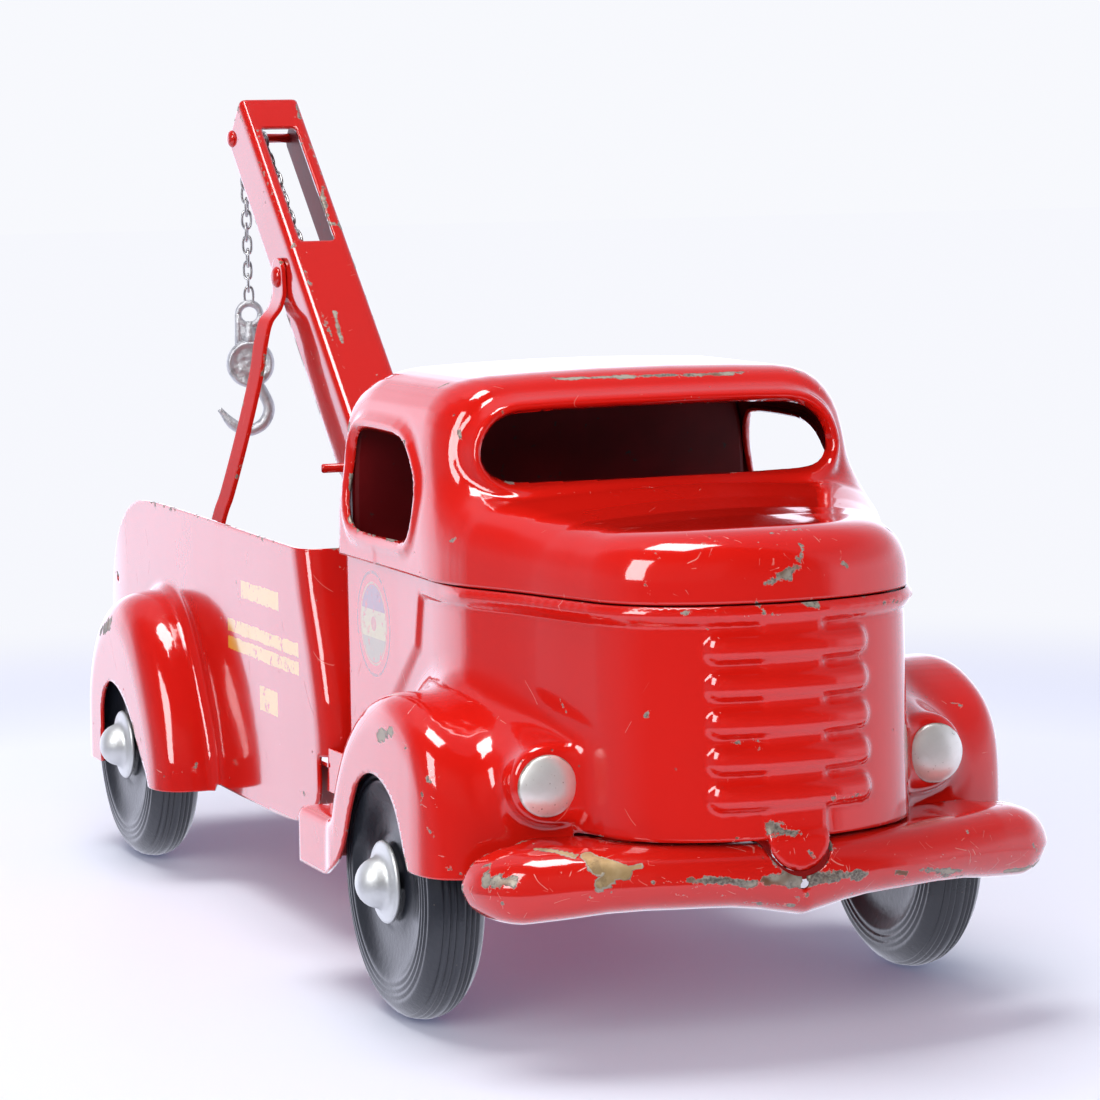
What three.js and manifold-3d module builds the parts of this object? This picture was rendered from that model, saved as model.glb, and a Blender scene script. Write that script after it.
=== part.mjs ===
// Pressed-steel toy tow truck, millimetres, +Z up.
// Origin: on the ground, on the centreline, at the middle of the overall length.
// The nose points to -Y, the truck's right side is -X.
// Pieces are drawn with the front axle at y = 0; MID_Y moves the finished truck to its origin.
import * as THREE from 'three';
import { mergeVertices } from 'three/addons/utils/BufferGeometryUtils.js';
import Module from 'manifold-3d';

const wasm = await Module();
wasm.setup();

// ---------------------------------------------------------------- driving dimensions
const MID_Y = 113.3366;           // middle of the overall length, behind the front axle
const SHEET = 1.0;                // sheet thickness of the stampings
const GAP = 0.3;                  // assembly gap between neighbouring pieces
const SIDES = [['right', -1], ['left', 1]];   // side name and sign of x

const TYRE_R = 31.75;             // 2 1/2 in rubber wheel
const TYRE_X = 62.2;              // tyre mid-plane from the centreline
const TYRE_HALF = 7.05;           // half the tyre's greatest width
const WHEELBASE = 219;
const AXLES = [['front', 0], ['rear', WHEELBASE]];   // name and y
const AXLE_R = 2.0;
const AXLE_BORE_R = 2.1;
const AXLE_END = 72;              // half length of an axle
const HUB_FLANGE_R = 9.53;        // 3/4 in cap flange
const HUB_TIP_X = 76;

const BELT_Z = 99;                // seam between the upper and lower cab stampings
const NOSE_BOTTOM_Z = 48;
const NOSE_HALF = 39;             // half width of the raised lower edge under the grille
const ROOF_Z = 145;
const CAB_REAR_Y = 69.3;
const SIDE_X = 71.5;              // flat outer face of every fender
const FENDER_IN_X = 40;
const LAMP = [47.3, -46.2, 59];   // centre of a headlight's front rim
const LAMP_R = 6.86;
const BUMPER_RIVET = [16, -61];   // x and y

const CHASSIS_X = 48.3;
const CHASSIS_FRONT_Y = -32;
const CHASSIS_REAR_Y = 260;
const CHASSIS_TOP_Z = 44;
const BED_X = 55.65;              // outer face of the bed sides
const BED_FRONT_Y = 81.6;         // foot of the sloping front wall of the bed
const BED_TOP_Z = 97.3;
const FLOOR_Z = 44.4;             // underside of the bed floor
const FLOOR_T = 1.0;
const FLOOR_REAR_Y = 270;
const FLOOR_RIVETS = [['front', 150], ['rear', 252]];   // name and y
const FOOT_Z = FLOOR_Z + FLOOR_T + GAP;   // underside of the boom and brace feet

const BOOM_W = 19;                // 3/4 in channel
const BOOM_T = 1.2;
const BOOM_DEPTH = 16.5;
const BOOM_LEN = 236;
const BOOM_TOP = [287.6, 211.9];  // top end of the web, y and z
const BOOM_ANGLE = 43.73;         // degrees above the horizontal
const BOOM_FOOT_Y = 114.3;        // front end of the boom foot
const BOOM_RIVET = [0, 131];      // x and y of the foot's rivet
const PIN_R = 1.5;
const SHAFT_R = 1.3;
// distance along the boom from its top end, and off the web
const SHAFT_POS = [-136.9, -12.1];
const TIP_POS = [-2.5, -13.5];
const BRACE_RIVET_POS = [-62.9, -11.4];

const BRACE_W = 10;
const BRACE_T = 1.2;
const BRACE_FOOT = [41.2, 240];   // foot rivet of the left brace, x and y
const CHAIN_R = 0.9;
const CHAIN_X = -4.5;
const CHAIN_Y = 298.2;
const HOOK_YAW = 17.4;            // degrees, how far the hook's flat side is turned

// ---------------------------------------------------------------- materials
const finish = (settings) => () => new THREE.MeshStandardMaterial(settings);
const enamel = finish({ color: 0xb8120c, roughness: 0.28, metalness: 0 });
const enamelBed = finish({ color: 0xb01410, roughness: 0.32, metalness: 0 });
const rubber = finish({ color: 0x16171b, roughness: 0.72, metalness: 0 });
const nickel = finish({ color: 0xc9c6bc, roughness: 0.25, metalness: 1 });
const aluminium = finish({ color: 0xb9babc, roughness: 0.42, metalness: 1 });
const steel = finish({ color: 0x8d8d8e, roughness: 0.38, metalness: 1 });
const castMetal = finish({ color: 0x9c9ea3, roughness: 0.5, metalness: 1 });
const darkSteel = finish({ color: 0x4a3a35, roughness: 0.55, metalness: 0.6 });

// ---------------------------------------------------------------- solid helpers
const radians = (degrees) => degrees * Math.PI / 180;
const across = (half) => [-half, half];

// closed solid from a three.js geometry, with its faces turned outward
function toSolid(source) {
  source.deleteAttribute('normal');
  source.deleteAttribute('uv');
  const geometry = mergeVertices(source, 1e-4);
  const { position } = geometry.attributes;
  const corners = geometry.index.array;
  const vertex = (i) => new THREE.Vector3().fromBufferAttribute(position, i);
  const triangles = [];
  let volume = 0;
  for (let i = 0; i < corners.length; i += 3) {
    const [a, b, c] = corners.slice(i, i + 3);
    if (a === b || b === c || a === c) continue;
    triangles.push(a, b, c);
    volume += vertex(a).dot(vertex(b).cross(vertex(c))) / 6;
  }
  if (volume < 0) {
    for (let i = 0; i < triangles.length; i += 3) {
      [triangles[i + 1], triangles[i + 2]] = [triangles[i + 2], triangles[i + 1]];
    }
  }
  return new wasm.Manifold(new wasm.Mesh({
    numProp: 3,
    vertProperties: new Float32Array(position.array),
    triVerts: new Uint32Array(triangles),
  }));
}

function toGeometry(solid) {
  const mesh = solid.getMesh();
  const geometry = new THREE.BufferGeometry();
  const positions = new Float32Array(mesh.vertProperties);
  geometry.setAttribute('position', new THREE.BufferAttribute(positions, 3));
  geometry.setIndex(new THREE.BufferAttribute(new Uint32Array(mesh.triVerts), 1));
  geometry.computeVertexNormals();
  return geometry;
}

// The plane across an axis has the coordinates (y, z) for x, (x, z) for y and (x, y) for z.
const POINT_ON = {
  x: (a, b, along) => [along, a, b],
  y: (a, b, along) => [a, along, b],
  z: (a, b, along) => [a, b, along],
};
// turns an extrusion onto its axis; the y one runs toward -y
const EXTRUDE_TURN = {
  x: new THREE.Matrix4().set(0, 0, 1, 0, 1, 0, 0, 0, 0, 1, 0, 0, 0, 0, 0, 1),
  y: new THREE.Matrix4().set(1, 0, 0, 0, 0, 0, -1, 0, 0, 1, 0, 0, 0, 0, 0, 1),
  z: new THREE.Matrix4(),
};

// prism of an outline between two positions along an axis
function prism(axis, outline, from, to) {
  const low = Math.min(from, to);
  const high = Math.max(from, to);
  const shape = new THREE.Shape(outline.map(([a, b]) => new THREE.Vector2(a, b)));
  const geometry = new THREE.ExtrudeGeometry(shape, {
    depth: high - low, bevelEnabled: false, steps: 1,
  });
  geometry.applyMatrix4(EXTRUDE_TURN[axis]);
  geometry.translate(...POINT_ON[axis](0, 0, axis === 'y' ? high : low));
  return toSolid(geometry);
}

// box from its [low, high] ranges
function box([x0, x1], [y0, y1], [z0, z1]) {
  const geometry = new THREE.BoxGeometry(x1 - x0, y1 - y0, z1 - z0);
  geometry.translate((x0 + x1) / 2, (y0 + y1) / 2, (z0 + z1) / 2);
  return toSolid(geometry);
}

// round bar between two points
function rod(from, to, radius, segments) {
  const start = new THREE.Vector3(...from);
  const end = new THREE.Vector3(...to);
  const run = end.clone().sub(start);
  const geometry = new THREE.CylinderGeometry(radius, radius, run.length(), segments, 1);
  const up = new THREE.Vector3(0, 1, 0);
  geometry.applyQuaternion(new THREE.Quaternion().setFromUnitVectors(up, run.normalize()));
  geometry.translate(...start.add(end).multiplyScalar(0.5).toArray());
  return toSolid(geometry);
}

// round bar along an axis, through a point of the plane across it
function bar(axis, center, from, to, radius, segments) {
  const point = POINT_ON[axis];
  return rod(point(...center, from), point(...center, to), radius, segments);
}

// union of bars on one centre line; each row is from, to, radius, segments
const stackedBars = (axis, center, rows) =>
  rows.map((row) => bar(axis, center, ...row)).reduce((all, next) => all.add(next));

// upright hole for a rivet
const rivetHole = (center, top = 50) => bar('z', center, 40, top, 1.6, 10);

const lathe = (profile, segments) =>
  new THREE.LatheGeometry(profile.map(([r, s]) => new THREE.Vector2(r, s)), segments);

// turned piece: profile of (radius, station) along +X, or along -X for a negative sign
function turnedX(profile, segments, at, sign = 1) {
  const geometry = lathe(profile, segments);
  geometry.rotateZ(-Math.PI / 2);
  if (sign < 0) geometry.rotateZ(Math.PI);
  geometry.translate(...at);
  return toSolid(geometry);
}

// sweep of a regular polygon along a smooth curve
function sweep(points, radius, steps, sides) {
  const extrudePath = new THREE.CatmullRomCurve3(points.map((p) => new THREE.Vector3(...p)));
  const section = [];
  for (let i = 0; i < sides; i++) {
    const angle = (2 * Math.PI * i) / sides;
    section.push(new THREE.Vector2(radius * Math.cos(angle), radius * Math.sin(angle)));
  }
  const options = { steps, bevelEnabled: false, extrudePath };
  return toSolid(new THREE.ExtrudeGeometry(new THREE.Shape(section), options));
}

const flipX = (solid) => solid.mirror([1, 0, 0]);

// inward offset of an outline; the limit keeps sharp corners from running away
function inset(outline, distance) {
  const count = outline.length;
  let doubleArea = 0;
  outline.forEach(([ax, ay], i) => {
    const [bx, by] = outline[(i + 1) % count];
    doubleArea += ax * by - bx * ay;
  });
  const turn = doubleArea > 0 ? 1 : -1;
  const inwardNormal = ([ax, ay], [bx, by]) => {
    const length = Math.hypot(bx - ax, by - ay);
    return [-(by - ay) / length * turn, (bx - ax) / length * turn];
  };
  return outline.map((point, i) => {
    const before = inwardNormal(outline[(i + count - 1) % count], point);
    const after = inwardNormal(point, outline[(i + 1) % count]);
    const spread = Math.max(0.35, (1 + before[0] * after[0] + before[1] * after[1]) / 2);
    return point.map((value, k) => value + (before[k] + after[k]) / 2 * distance / spread);
  });
}

function roundedRect([a0, a1], [b0, b1], radius) {
  const steps = 3;                // per corner
  // centre of each corner arc and its starting angle in degrees
  const arcs = [
    [a1 - radius, b0 + radius, -90], [a1 - radius, b1 - radius, 0],
    [a0 + radius, b1 - radius, 90], [a0 + radius, b0 + radius, 180],
  ];
  const points = [];
  for (const [a, b, start] of arcs) {
    for (let i = 0; i <= steps; i++) {
      const angle = radians(start + (90 * i) / steps);
      points.push([a + radius * Math.cos(angle), b + radius * Math.sin(angle)]);
    }
  }
  return points;
}

// ---------------------------------------------------------------- cab plan
// left half of the cab and hood seen from above, x and y, from the nose back
const HALF_PLAN = [
  [0, -70.6], [11, -69.3], [20, -67], [28, -63.5], [31.5, -59.5], [35.5, -49], [40, -38],
  [45, -26], [50.3, -15], [53, -8.6], [54, 3], [53.4, 20], [53, 40], [53, CAB_REAR_Y],
];
const PLAN = [...HALF_PLAN, ...HALF_PLAN.slice(1).reverse().map(([x, y]) => [-x, y])];
// inside of the sheet, run out past the open back
const PLAN_IN = inset(PLAN, SHEET).map(([x, y]) => [x, y > 60 ? 90 : y]);

// ---------------------------------------------------------------- upper cab stamping
// side view, y and z
const UPPER_SIDE = [
  [-70.6, BELT_Z + 0.2], [CAB_REAR_Y, BELT_Z + 0.2], [CAB_REAR_Y, 133], [66.5, 140],
  [60, 143.8], [40, ROOF_Z], [16, 144.2], [9, 142.4], [4, 139.6], [1.6, 135.5],
  [-0.5, 121], [-8, 119.4], [-45, 117.4], [-56, 115], [-63.5, 112], [-67.6, 108.5],
  [-69.6, 104.5],
];
// front view, x and z
const UPPER_FRONT = [
  [-56, 90], [56, 90], [54, 112], [53.3, 127], [51.4, 136.5], [46, 142.2], [39.5, 144],
  [0, ROOF_Z + 0.4], [-39.5, 144], [-46, 142.2], [-51.4, 136.5], [-53.3, 127], [-54, 112],
];

// roof, windscreen frame, cowl and hood top in one draw
function cabUpper() {
  // the hollow is open at the back and below
  const sideIn = inset(UPPER_SIDE, SHEET)
    .map(([y, z]) => [y > CAB_REAR_Y - 4 ? 90 : y, z < BELT_Z + 2 ? 60 : z]);
  const frontIn = inset(UPPER_FRONT, SHEET).map(([x, z]) => [x, z < 95 ? 60 : z]);
  const outer = prism('x', UPPER_SIDE, -60, 60)
    .intersect(prism('y', UPPER_FRONT, -90, 90))
    .intersect(prism('z', PLAN, 80, 160));
  const inner = prism('x', sideIn, -60, 60)
    .intersect(prism('y', frontIn, -95, 95))
    .intersect(prism('z', PLAN_IN, 40, 160));
  const windscreen = prism('y', roundedRect(across(43), [121.6, 136], 6), -14, 9);
  const sideWindows = prism('x', roundedRect([19, 61], [106, 130], 7), -70, 70);
  return outer.subtract(inner).subtract(windscreen).subtract(sideWindows);
}

// ---------------------------------------------------------------- lower cab stamping
// front fender and running board, side view, y and z
const FENDER = [
  [-34.8, 38.5], [-34.5, 47], [-32, 56], [-27, 65], [-20, 71], [-12, 74.5], [-2, 75],
  [8, 72.5], [18, 67], [26, 59.5], [31.5, 51], [34.5, 43], [35, 40.7], [56.6, 40.7],
  [56.6, 27.4], [12, 27.4], [12, 38.5],
];
// front wheel arch, y and z
const FRONT_ARCH = [
  [-24.1, 10], [-24.1, 38.5], [-21.6, 40.8], [-18.7, 47], [-14.5, 53.1], [-6.1, 57],
  [2, 57.1], [10.5, 53.7], [14.4, 48.5], [16.8, 44.6], [20.9, 36.9], [26.3, 31.3],
  [36, 27.4], [36, 10],
];
const POD_R = 8.2;                // housing behind each headlight
const POD_FRONT_Y = -44.3;
const RIB_COUNT = 5;
const RIB_PITCH = 8;
const RIB_FIRST_Z = 57.3;
const RIB_HALF_HEIGHT = 3.4;
const TONGUE_R = 6;               // round tongue that drops into the bumper
const TONGUE_FRONT_Y = -72.4;

const archCut = (arch, sign) => prism('x', arch, sign * (SIDE_X - 6), sign * (SIDE_X + 5));

function lowerBody() {
  const fenderIn = inset(FENDER, SHEET)
    .map(([y, z]) => [y, z < 40 && (y < 14 || z < 29) ? 15 : z]);   // open below
  let outer = prism('z', PLAN, 40, BELT_Z - GAP / 2);
  let inner = prism('z', PLAN_IN, 10, 140);
  for (const [, sign] of SIDES) {
    const lamp = [sign * LAMP[0], LAMP[2]];
    outer = outer
      .add(prism('x', FENDER, sign * FENDER_IN_X, sign * SIDE_X))
      .add(bar('y', lamp, POD_FRONT_Y, -20, POD_R, 20));
    inner = inner
      .add(prism('x', fenderIn, sign * 30, sign * (SIDE_X - SHEET)))
      .add(bar('y', lamp, POD_FRONT_Y + SHEET, -10, POD_R - SHEET, 20));
  }
  let body = outer.subtract(inner);
  for (const [, sign] of SIDES) {
    const stemHole = bar('y', [sign * LAMP[0], LAMP[2]], -50, -40, 1.8, 10);
    body = body.subtract(archCut(FRONT_ARCH, sign)).subtract(stemHole);
  }
  // the grille panel ends higher than the sides
  body = body.subtract(box(across(NOSE_HALF), [-80, -36], [20, NOSE_BOTTOM_Z]));
  // pressed louvre ribs across the grille
  for (let i = 0; i < RIB_COUNT; i++) {
    const z = RIB_FIRST_Z + i * RIB_PITCH;
    const rib = box(across(18), [-71.4, -68.3], [z - RIB_HALF_HEIGHT, z + RIB_HALF_HEIGHT]);
    body = body.add(rib.subtract(inner));
  }
  body = body.add(bar('y', [0, NOSE_BOTTOM_Z], TONGUE_FRONT_Y, -69.9, TONGUE_R, 24));
  // riveting flange behind the tongue
  const flangePlan = inset(PLAN, 0.5).filter(([, y]) => y < -48);
  const flange = prism('z', flangePlan, NOSE_BOTTOM_Z, NOSE_BOTTOM_Z + SHEET);
  body = body.add(flange.subtract(box(across(60), [-57, 0], [40, 60])));
  return cutBumperRivetHoles(body);
}

function cutBumperRivetHoles(solid) {
  const [x, y] = BUMPER_RIVET;
  return solid.subtract(rivetHole([-x, y])).subtract(rivetHole([x, y]));
}

// ---------------------------------------------------------------- cab back panel
// front view, x and z
const BACK_PANEL = [
  [-51.6, 46.5], [51.6, 46.5], [51.6, 112], [51.2, 126], [49.6, 134.8], [44.6, 139.4],
  [38, 140.8], [-38, 140.8], [-44.6, 139.4], [-49.6, 134.8], [-51.2, 126], [-51.6, 112],
];

// flat wall that closes the cab at the back
function cabBackPanel() {
  const frontY = CAB_REAR_Y - 5.4;
  return prism('y', BACK_PANEL, frontY, frontY + SHEET);
}

// ---------------------------------------------------------------- headlights
// radius, and distance behind the front rim
const LAMP_PROFILE = [
  [0, 6], [1.55, 6], [1.55, 1.4], [LAMP_R, 1.4], [LAMP_R, 0], [4.5, -1.1], [0, -1.6],
];

function headlight(sign) {
  const [x, y, z] = LAMP;
  return toSolid(lathe(LAMP_PROFILE, 20).translate(sign * x, y, z));
}

// ---------------------------------------------------------------- bumper
const BUMPER_HALF = 69.9;
const BUMPER_BOTTOM_Z = 29.6;
const BUMPER_TOP_Z = 47.6;
const BUMPER_CORNER_R = 7.5;
const BUMPER_MID_Y = -76;         // front face on the centreline
const BUMPER_END_Y = -57;         // front face 70 mm out
const BUMPER_STEPS = 12;
const NOTCH_R = 6.6;              // clears the tongue of the lower body
const NOTCH_FRONT_Y = -73.4;

// stepped rear edge of the bumper
function bumperBack(x) {
  const offset = Math.abs(x);
  if (offset < 33) return -57.5;
  if (offset < 39) return -54;
  return offset < 55 ? -45.5 : -49;
}

// curved bar with rounded ends, its faces moved in by a wall thickness
function bumperBlock(wall, backEdge) {
  const stations = [];
  for (let i = 0; i <= BUMPER_STEPS; i++) {
    stations.push(-BUMPER_HALF + (2 * BUMPER_HALF * i) / BUMPER_STEPS);
  }
  const sweepBack = BUMPER_END_Y - BUMPER_MID_Y;
  const crescent = [
    ...stations.map((x) => [x, BUMPER_MID_Y + wall + sweepBack * (Math.abs(x) / 70) ** 2]),
    ...stations.map((x) => [x, backEdge(x)]).reverse(),
  ];
  const bottom = BUMPER_BOTTOM_Z + wall;
  const top = BUMPER_TOP_Z - wall;
  const face = roundedRect(across(BUMPER_HALF - wall), [bottom, top], BUMPER_CORNER_R - wall);
  return prism('z', crescent, bottom - 0.2, top).intersect(prism('y', face, -90, -20));
}

function frontBumper() {
  const bumper = bumperBlock(0, bumperBack)
    .subtract(bumperBlock(SHEET, () => -30))
    // notch for the tongue
    .subtract(bar('y', [0, NOSE_BOTTOM_Z], NOTCH_FRONT_Y, -50, NOTCH_R, 24))
    .subtract(box(across(NOTCH_R), [NOTCH_FRONT_Y, -50], [44, 60]))
    // small hole in the middle of the front face
    .subtract(bar('y', [0, 38], -90, -60, 1.1, 12))
    // space behind the middle
    .subtract(box(across(NOSE_HALF), [-58.2, -30], [25, 50]));
  return cutBumperRivetHoles(bumper);
}

// shank, upper head, lower head
const bumperRivet = (sign) => stackedBars('z', [sign * BUMPER_RIVET[0], BUMPER_RIVET[1]], [
  [45.3, 50.3, 1.4, 10],
  [49.3, 50.5, 2.6, 12],
  [45.1, 46.3, 2.6, 12],
]);

// ---------------------------------------------------------------- chassis pan
// open-bottomed pan, deeper at both axles
function chassisFrame() {
  let pan = box(across(CHASSIS_X), [CHASSIS_FRONT_Y, CHASSIS_REAR_Y], [30, CHASSIS_TOP_Z]);
  for (const [, y] of AXLES) {
    pan = pan.add(box(across(CHASSIS_X), [y - 12, y + 12], [24, 36]));
  }
  pan = pan.subtract(box(
    across(CHASSIS_X - SHEET),
    [CHASSIS_FRONT_Y + SHEET, CHASSIS_REAR_Y - SHEET],
    [10, CHASSIS_TOP_Z - SHEET],
  ));
  for (const [, y] of AXLES) {
    pan = pan.subtract(bar('x', [y, TYRE_R], -60, 60, AXLE_BORE_R, 20));
  }
  for (const [, y] of FLOOR_RIVETS) pan = pan.subtract(rivetHole([0, y]));
  return pan;
}

// ---------------------------------------------------------------- bed sides
// sloping front wall of the bed, y and z, from the top down
const BED_SLOPE = [[97.2, BED_TOP_Z], [93.9, 85.5], [87.6, 72], [83.4, 60], [81.8, 51.5]];
// bed side, y and z
const BED_SIDE = [
  [BED_FRONT_Y, 46.9], [87.8, 46.9], [87.4, 36], [92, 31.3], [98.4, 29], [110.2, 26.4],
  [173, 26.2], [173.4, 28], [234, 28], [237.9, 36.8], [243.8, 40.8], [265.4, 42.1],
  [274.2, 45.7], [279.6, 54.5], [280.6, 64.4], [278.2, 73.2], [273.3, 82], [265.4, 89.9],
  [253.6, 96.3], [239.9, 98.6], [182.9, 98.3], [114.1, 97.4], ...BED_SLOPE,
];
const FRONT_WALL = [
  [BED_FRONT_Y, FLOOR_Z], [BED_FRONT_Y + SHEET, FLOOR_Z],
  ...BED_SLOPE.map(([y, z]) => [y + SHEET, z]).reverse(),
  ...BED_SLOPE,
];
// rear wheel arch, y and z
const REAR_ARCH = [
  [234.8, 5], [234.8, 36.7], [234, 42.5], [230, 47], [223.7, 49.9], [213.4, 48.1],
  [203.7, 42.3], [194.7, 32.5], [186.4, 25.7], [184, 5],
];
// half axes of the rear fender's elliptical outline
const REAR_FENDER_Y = 37.4;
const REAR_FENDER_Z = 38.4;

// left side with its fender and its half of the front wall
function bedSideLeft() {
  const fender = [];
  for (let degrees = -10; degrees <= 190; degrees += 12.5) {
    const angle = radians(degrees);
    fender.push([
      WHEELBASE + REAR_FENDER_Y * Math.cos(angle),
      TYRE_R + REAR_FENDER_Z * Math.sin(angle),
    ]);
  }
  const fenderIn = inset(fender, SHEET).map(([y, z]) => [y, z < 30 ? 5 : z]);   // open below
  const innerFace = BED_X - SHEET;
  return prism('x', BED_SIDE, innerFace, BED_X)
    .add(prism('x', fender, innerFace, SIDE_X))
    .add(prism('x', FRONT_WALL, GAP, BED_X))
    .subtract(prism('x', fenderIn, innerFace - 2, SIDE_X - SHEET))
    .subtract(archCut(REAR_ARCH, 1))
    // small hole near the rear edge
    .subtract(bar('x', [270.9, 73], 50, 60, 1.3, 12));
}

// ---------------------------------------------------------------- bed floor
// flat sheet with a lip turned down at the rear
function bedFloor() {
  const width = across(BED_X - SHEET - GAP);
  const top = FLOOR_Z + FLOOR_T;
  const holes = [
    ...FLOOR_RIVETS.map(([, y]) => [0, y]),
    BOOM_RIVET,
    ...SIDES.map(([, sign]) => [sign * BRACE_FOOT[0], BRACE_FOOT[1]]),
  ];
  const sheet = box(width, [BED_FRONT_Y + SHEET + GAP, FLOOR_REAR_Y], [FLOOR_Z, top])
    .add(box(width, [FLOOR_REAR_Y - FLOOR_T, FLOOR_REAR_Y], [FLOOR_Z - 6, top]));
  return holes.reduce((floor, center) => floor.subtract(rivetHole(center)), sheet);
}

// shank, upper head, lower head
const floorRivet = (y) => stackedBars('z', [0, y], [
  [41.5, 46.6, 1.4, 10],
  [45.7, 46.9, 2.8, 12],
  [41.5, 42.7, 2.8, 12],
]);

// ---------------------------------------------------------------- boom
// Boom frame: +Y runs up the boom, +Z points up and forward from the web, the flanges reach
// to -Z, and the origin is at the web's top end.
const BOOM_FRAME = new THREE.Matrix4().makeTranslation(0, ...BOOM_TOP)
  .multiply(new THREE.Matrix4().makeRotationX(radians(BOOM_ANGLE)));
const boomPoint = (...point) => new THREE.Vector3(...point).applyMatrix4(BOOM_FRAME).toArray();
// places in the truck's side view, y and z
const [SHAFT, TIP, BRACE_RIVET] = [SHAFT_POS, TIP_POS, BRACE_RIVET_POS]
  .map((position) => boomPoint(0, ...position).slice(1));

function boom() {
  const half = BOOM_W / 2;
  // free corners of the flanges at the top end, cropped
  const crop = [[-1.6, -BOOM_DEPTH - 1], [1, -BOOM_DEPTH - 1], [1, -BOOM_DEPTH + 2.4]];
  let channel = box(across(half), [-BOOM_LEN, 0], [-BOOM_DEPTH, 0])
    .subtract(box(across(half - BOOM_T), [-BOOM_LEN - 5, 5], [-BOOM_DEPTH - 5, -BOOM_T]))
    // slot in the web near the top end
    .subtract(box(across(5.5), [-59.8, -11.7], [-4, 4]))
    .subtract(prism('x', crop, -20, 20))
    .subtract(bar('x', SHAFT_POS, -20, 20, SHAFT_R + 0.1, 16));
  for (const position of [TIP_POS, BRACE_RIVET_POS]) {
    channel = channel.subtract(bar('x', position, -20, 20, PIN_R + 0.2, 14));
  }
  // trimmed level above the bed floor and at the front, with a foot bent onto the floor
  return channel.transform([...BOOM_FRAME.elements])
    .subtract(box(across(40), [60, 200], [0, FOOT_Z]))
    .subtract(box(across(40), [60, BOOM_FOOT_Y], [0, 120]))
    .add(box(across(half), [BOOM_FOOT_Y, 138], [FOOT_Z, FOOT_Z + BOOM_T]))
    .subtract(rivetHole(BOOM_RIVET));
}

// shank, head
const boomFootRivet = () => stackedBars('z', BOOM_RIVET, [
  [CHASSIS_TOP_Z + 0.1, FOOT_Z + 2, 1.4, 10],
  [FOOT_Z + BOOM_T + GAP, FOOT_Z + BOOM_T + 1.6, 2.8, 12],
]);

// shank, right head, left head
const boomTipPin = () => stackedBars('x', TIP, [
  [-10.6, 10.6, PIN_R, 14],
  [-10.9, -9.8, 2.5, 12],
  [9.8, 10.9, 2.5, 12],
]);

// ---------------------------------------------------------------- braces
const BRACE_X = BOOM_W / 2 + GAP; // inner face at the top
const BRACE_LEAN = 0.092;         // shift toward the rear per millimetre of height
// inner edge of the left brace's leg, front view, x and z, from the top down
const BRACE_LEG = [
  [BRACE_X, 166], [BRACE_X, 153], [13.6, 149.5], [16, 141], [18.2, 131.6], [23, 115.2],
  [28.4, 98.9], [31.6, 90.8],
];

// bent strip of the left side, leaned toward the rear, with a rounded end about its top rivet
function braceLeft() {
  const [footX, footY] = BRACE_FOOT;
  const footTop = FOOT_Z + BRACE_T;
  const strip = [
    ...BRACE_LEG,
    [44.7, footTop], [37.5, footTop], [37.5, FOOT_Z], [46.2, FOOT_Z],
    ...BRACE_LEG.map(([x, z]) => [x + BRACE_T * 1.05, z + 0.3]).reverse(),
  ];
  // column by column; y grows with the height above the foot
  const lean = [1, 0, 0, 0, 0, 1, 0, 0, 0, BRACE_LEAN, 1, 0, 0, -BRACE_LEAN * FOOT_Z, 0, 1];
  const [rivetY, rivetZ] = BRACE_RIVET;
  return prism('y', strip, footY - BRACE_W / 2, footY + BRACE_W / 2)
    .transform(lean)
    .subtract(box([0, 20], [rivetY - 20, rivetY + 20], [rivetZ, 200]))
    .add(bar('x', BRACE_RIVET, BRACE_X, BRACE_X + BRACE_T, BRACE_W / 2, 20))
    .subtract(bar('x', BRACE_RIVET, 0, 20, PIN_R + 0.2, 14))
    // this cutter also reaches the leg above the foot
    .subtract(rivetHole([footX, footY], 60));
}

// shank, outer head, inner head
const braceTopRivet = (sign) => stackedBars('x', BRACE_RIVET, [
  [sign * 6.9, sign * 12.3, PIN_R, 14],
  [sign * 11.2, sign * 12.4, 3.1, 14],
  [sign * 6.8, sign * 8.0, 2.6, 14],
]);

// shank, head
const braceFootRivet = (sign) => stackedBars('z', [sign * BRACE_FOOT[0], BRACE_FOOT[1]], [
  [CHASSIS_TOP_Z + 0.1, FOOT_Z + 2.4, 1.4, 10],
  [FOOT_Z + BRACE_T + GAP, FOOT_Z + 2.6, 2.3, 12],
]);

// ---------------------------------------------------------------- winch
const SHAFT_HALF = 16;
const CRANK_LEN = 20;
const CRANK_DIR = [0.35, -0.937]; // y and z
const HANDLE_END_X = 29;
// wound chain: radius, and station from the centreline
const WOUND_BORE_R = SHAFT_R + 0.15;
const WOUND_PROFILE = [
  [WOUND_BORE_R, -5], [3.4, -5], [4, -4], [4, 4], [3.4, 5], [WOUND_BORE_R, 5],
  [WOUND_BORE_R, -5],
];

// shaft, crank arm and handle of one bent bar, with round knees
function winchShaft() {
  const handle = SHAFT.map((value, i) => value + CRANK_LEN * CRANK_DIR[i]);
  const knees = [[SHAFT_HALF, ...SHAFT], [SHAFT_HALF, ...handle]];
  let shaft = bar('x', SHAFT, -SHAFT_HALF, SHAFT_HALF, SHAFT_R, 16)
    .add(rod(...knees, SHAFT_R, 12))
    .add(bar('x', handle, SHAFT_HALF, HANDLE_END_X, SHAFT_R, 12));
  for (const knee of knees) {
    shaft = shaft.add(toSolid(new THREE.SphereGeometry(SHAFT_R, 8, 6).translate(...knee)));
  }
  return shaft;
}

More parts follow.
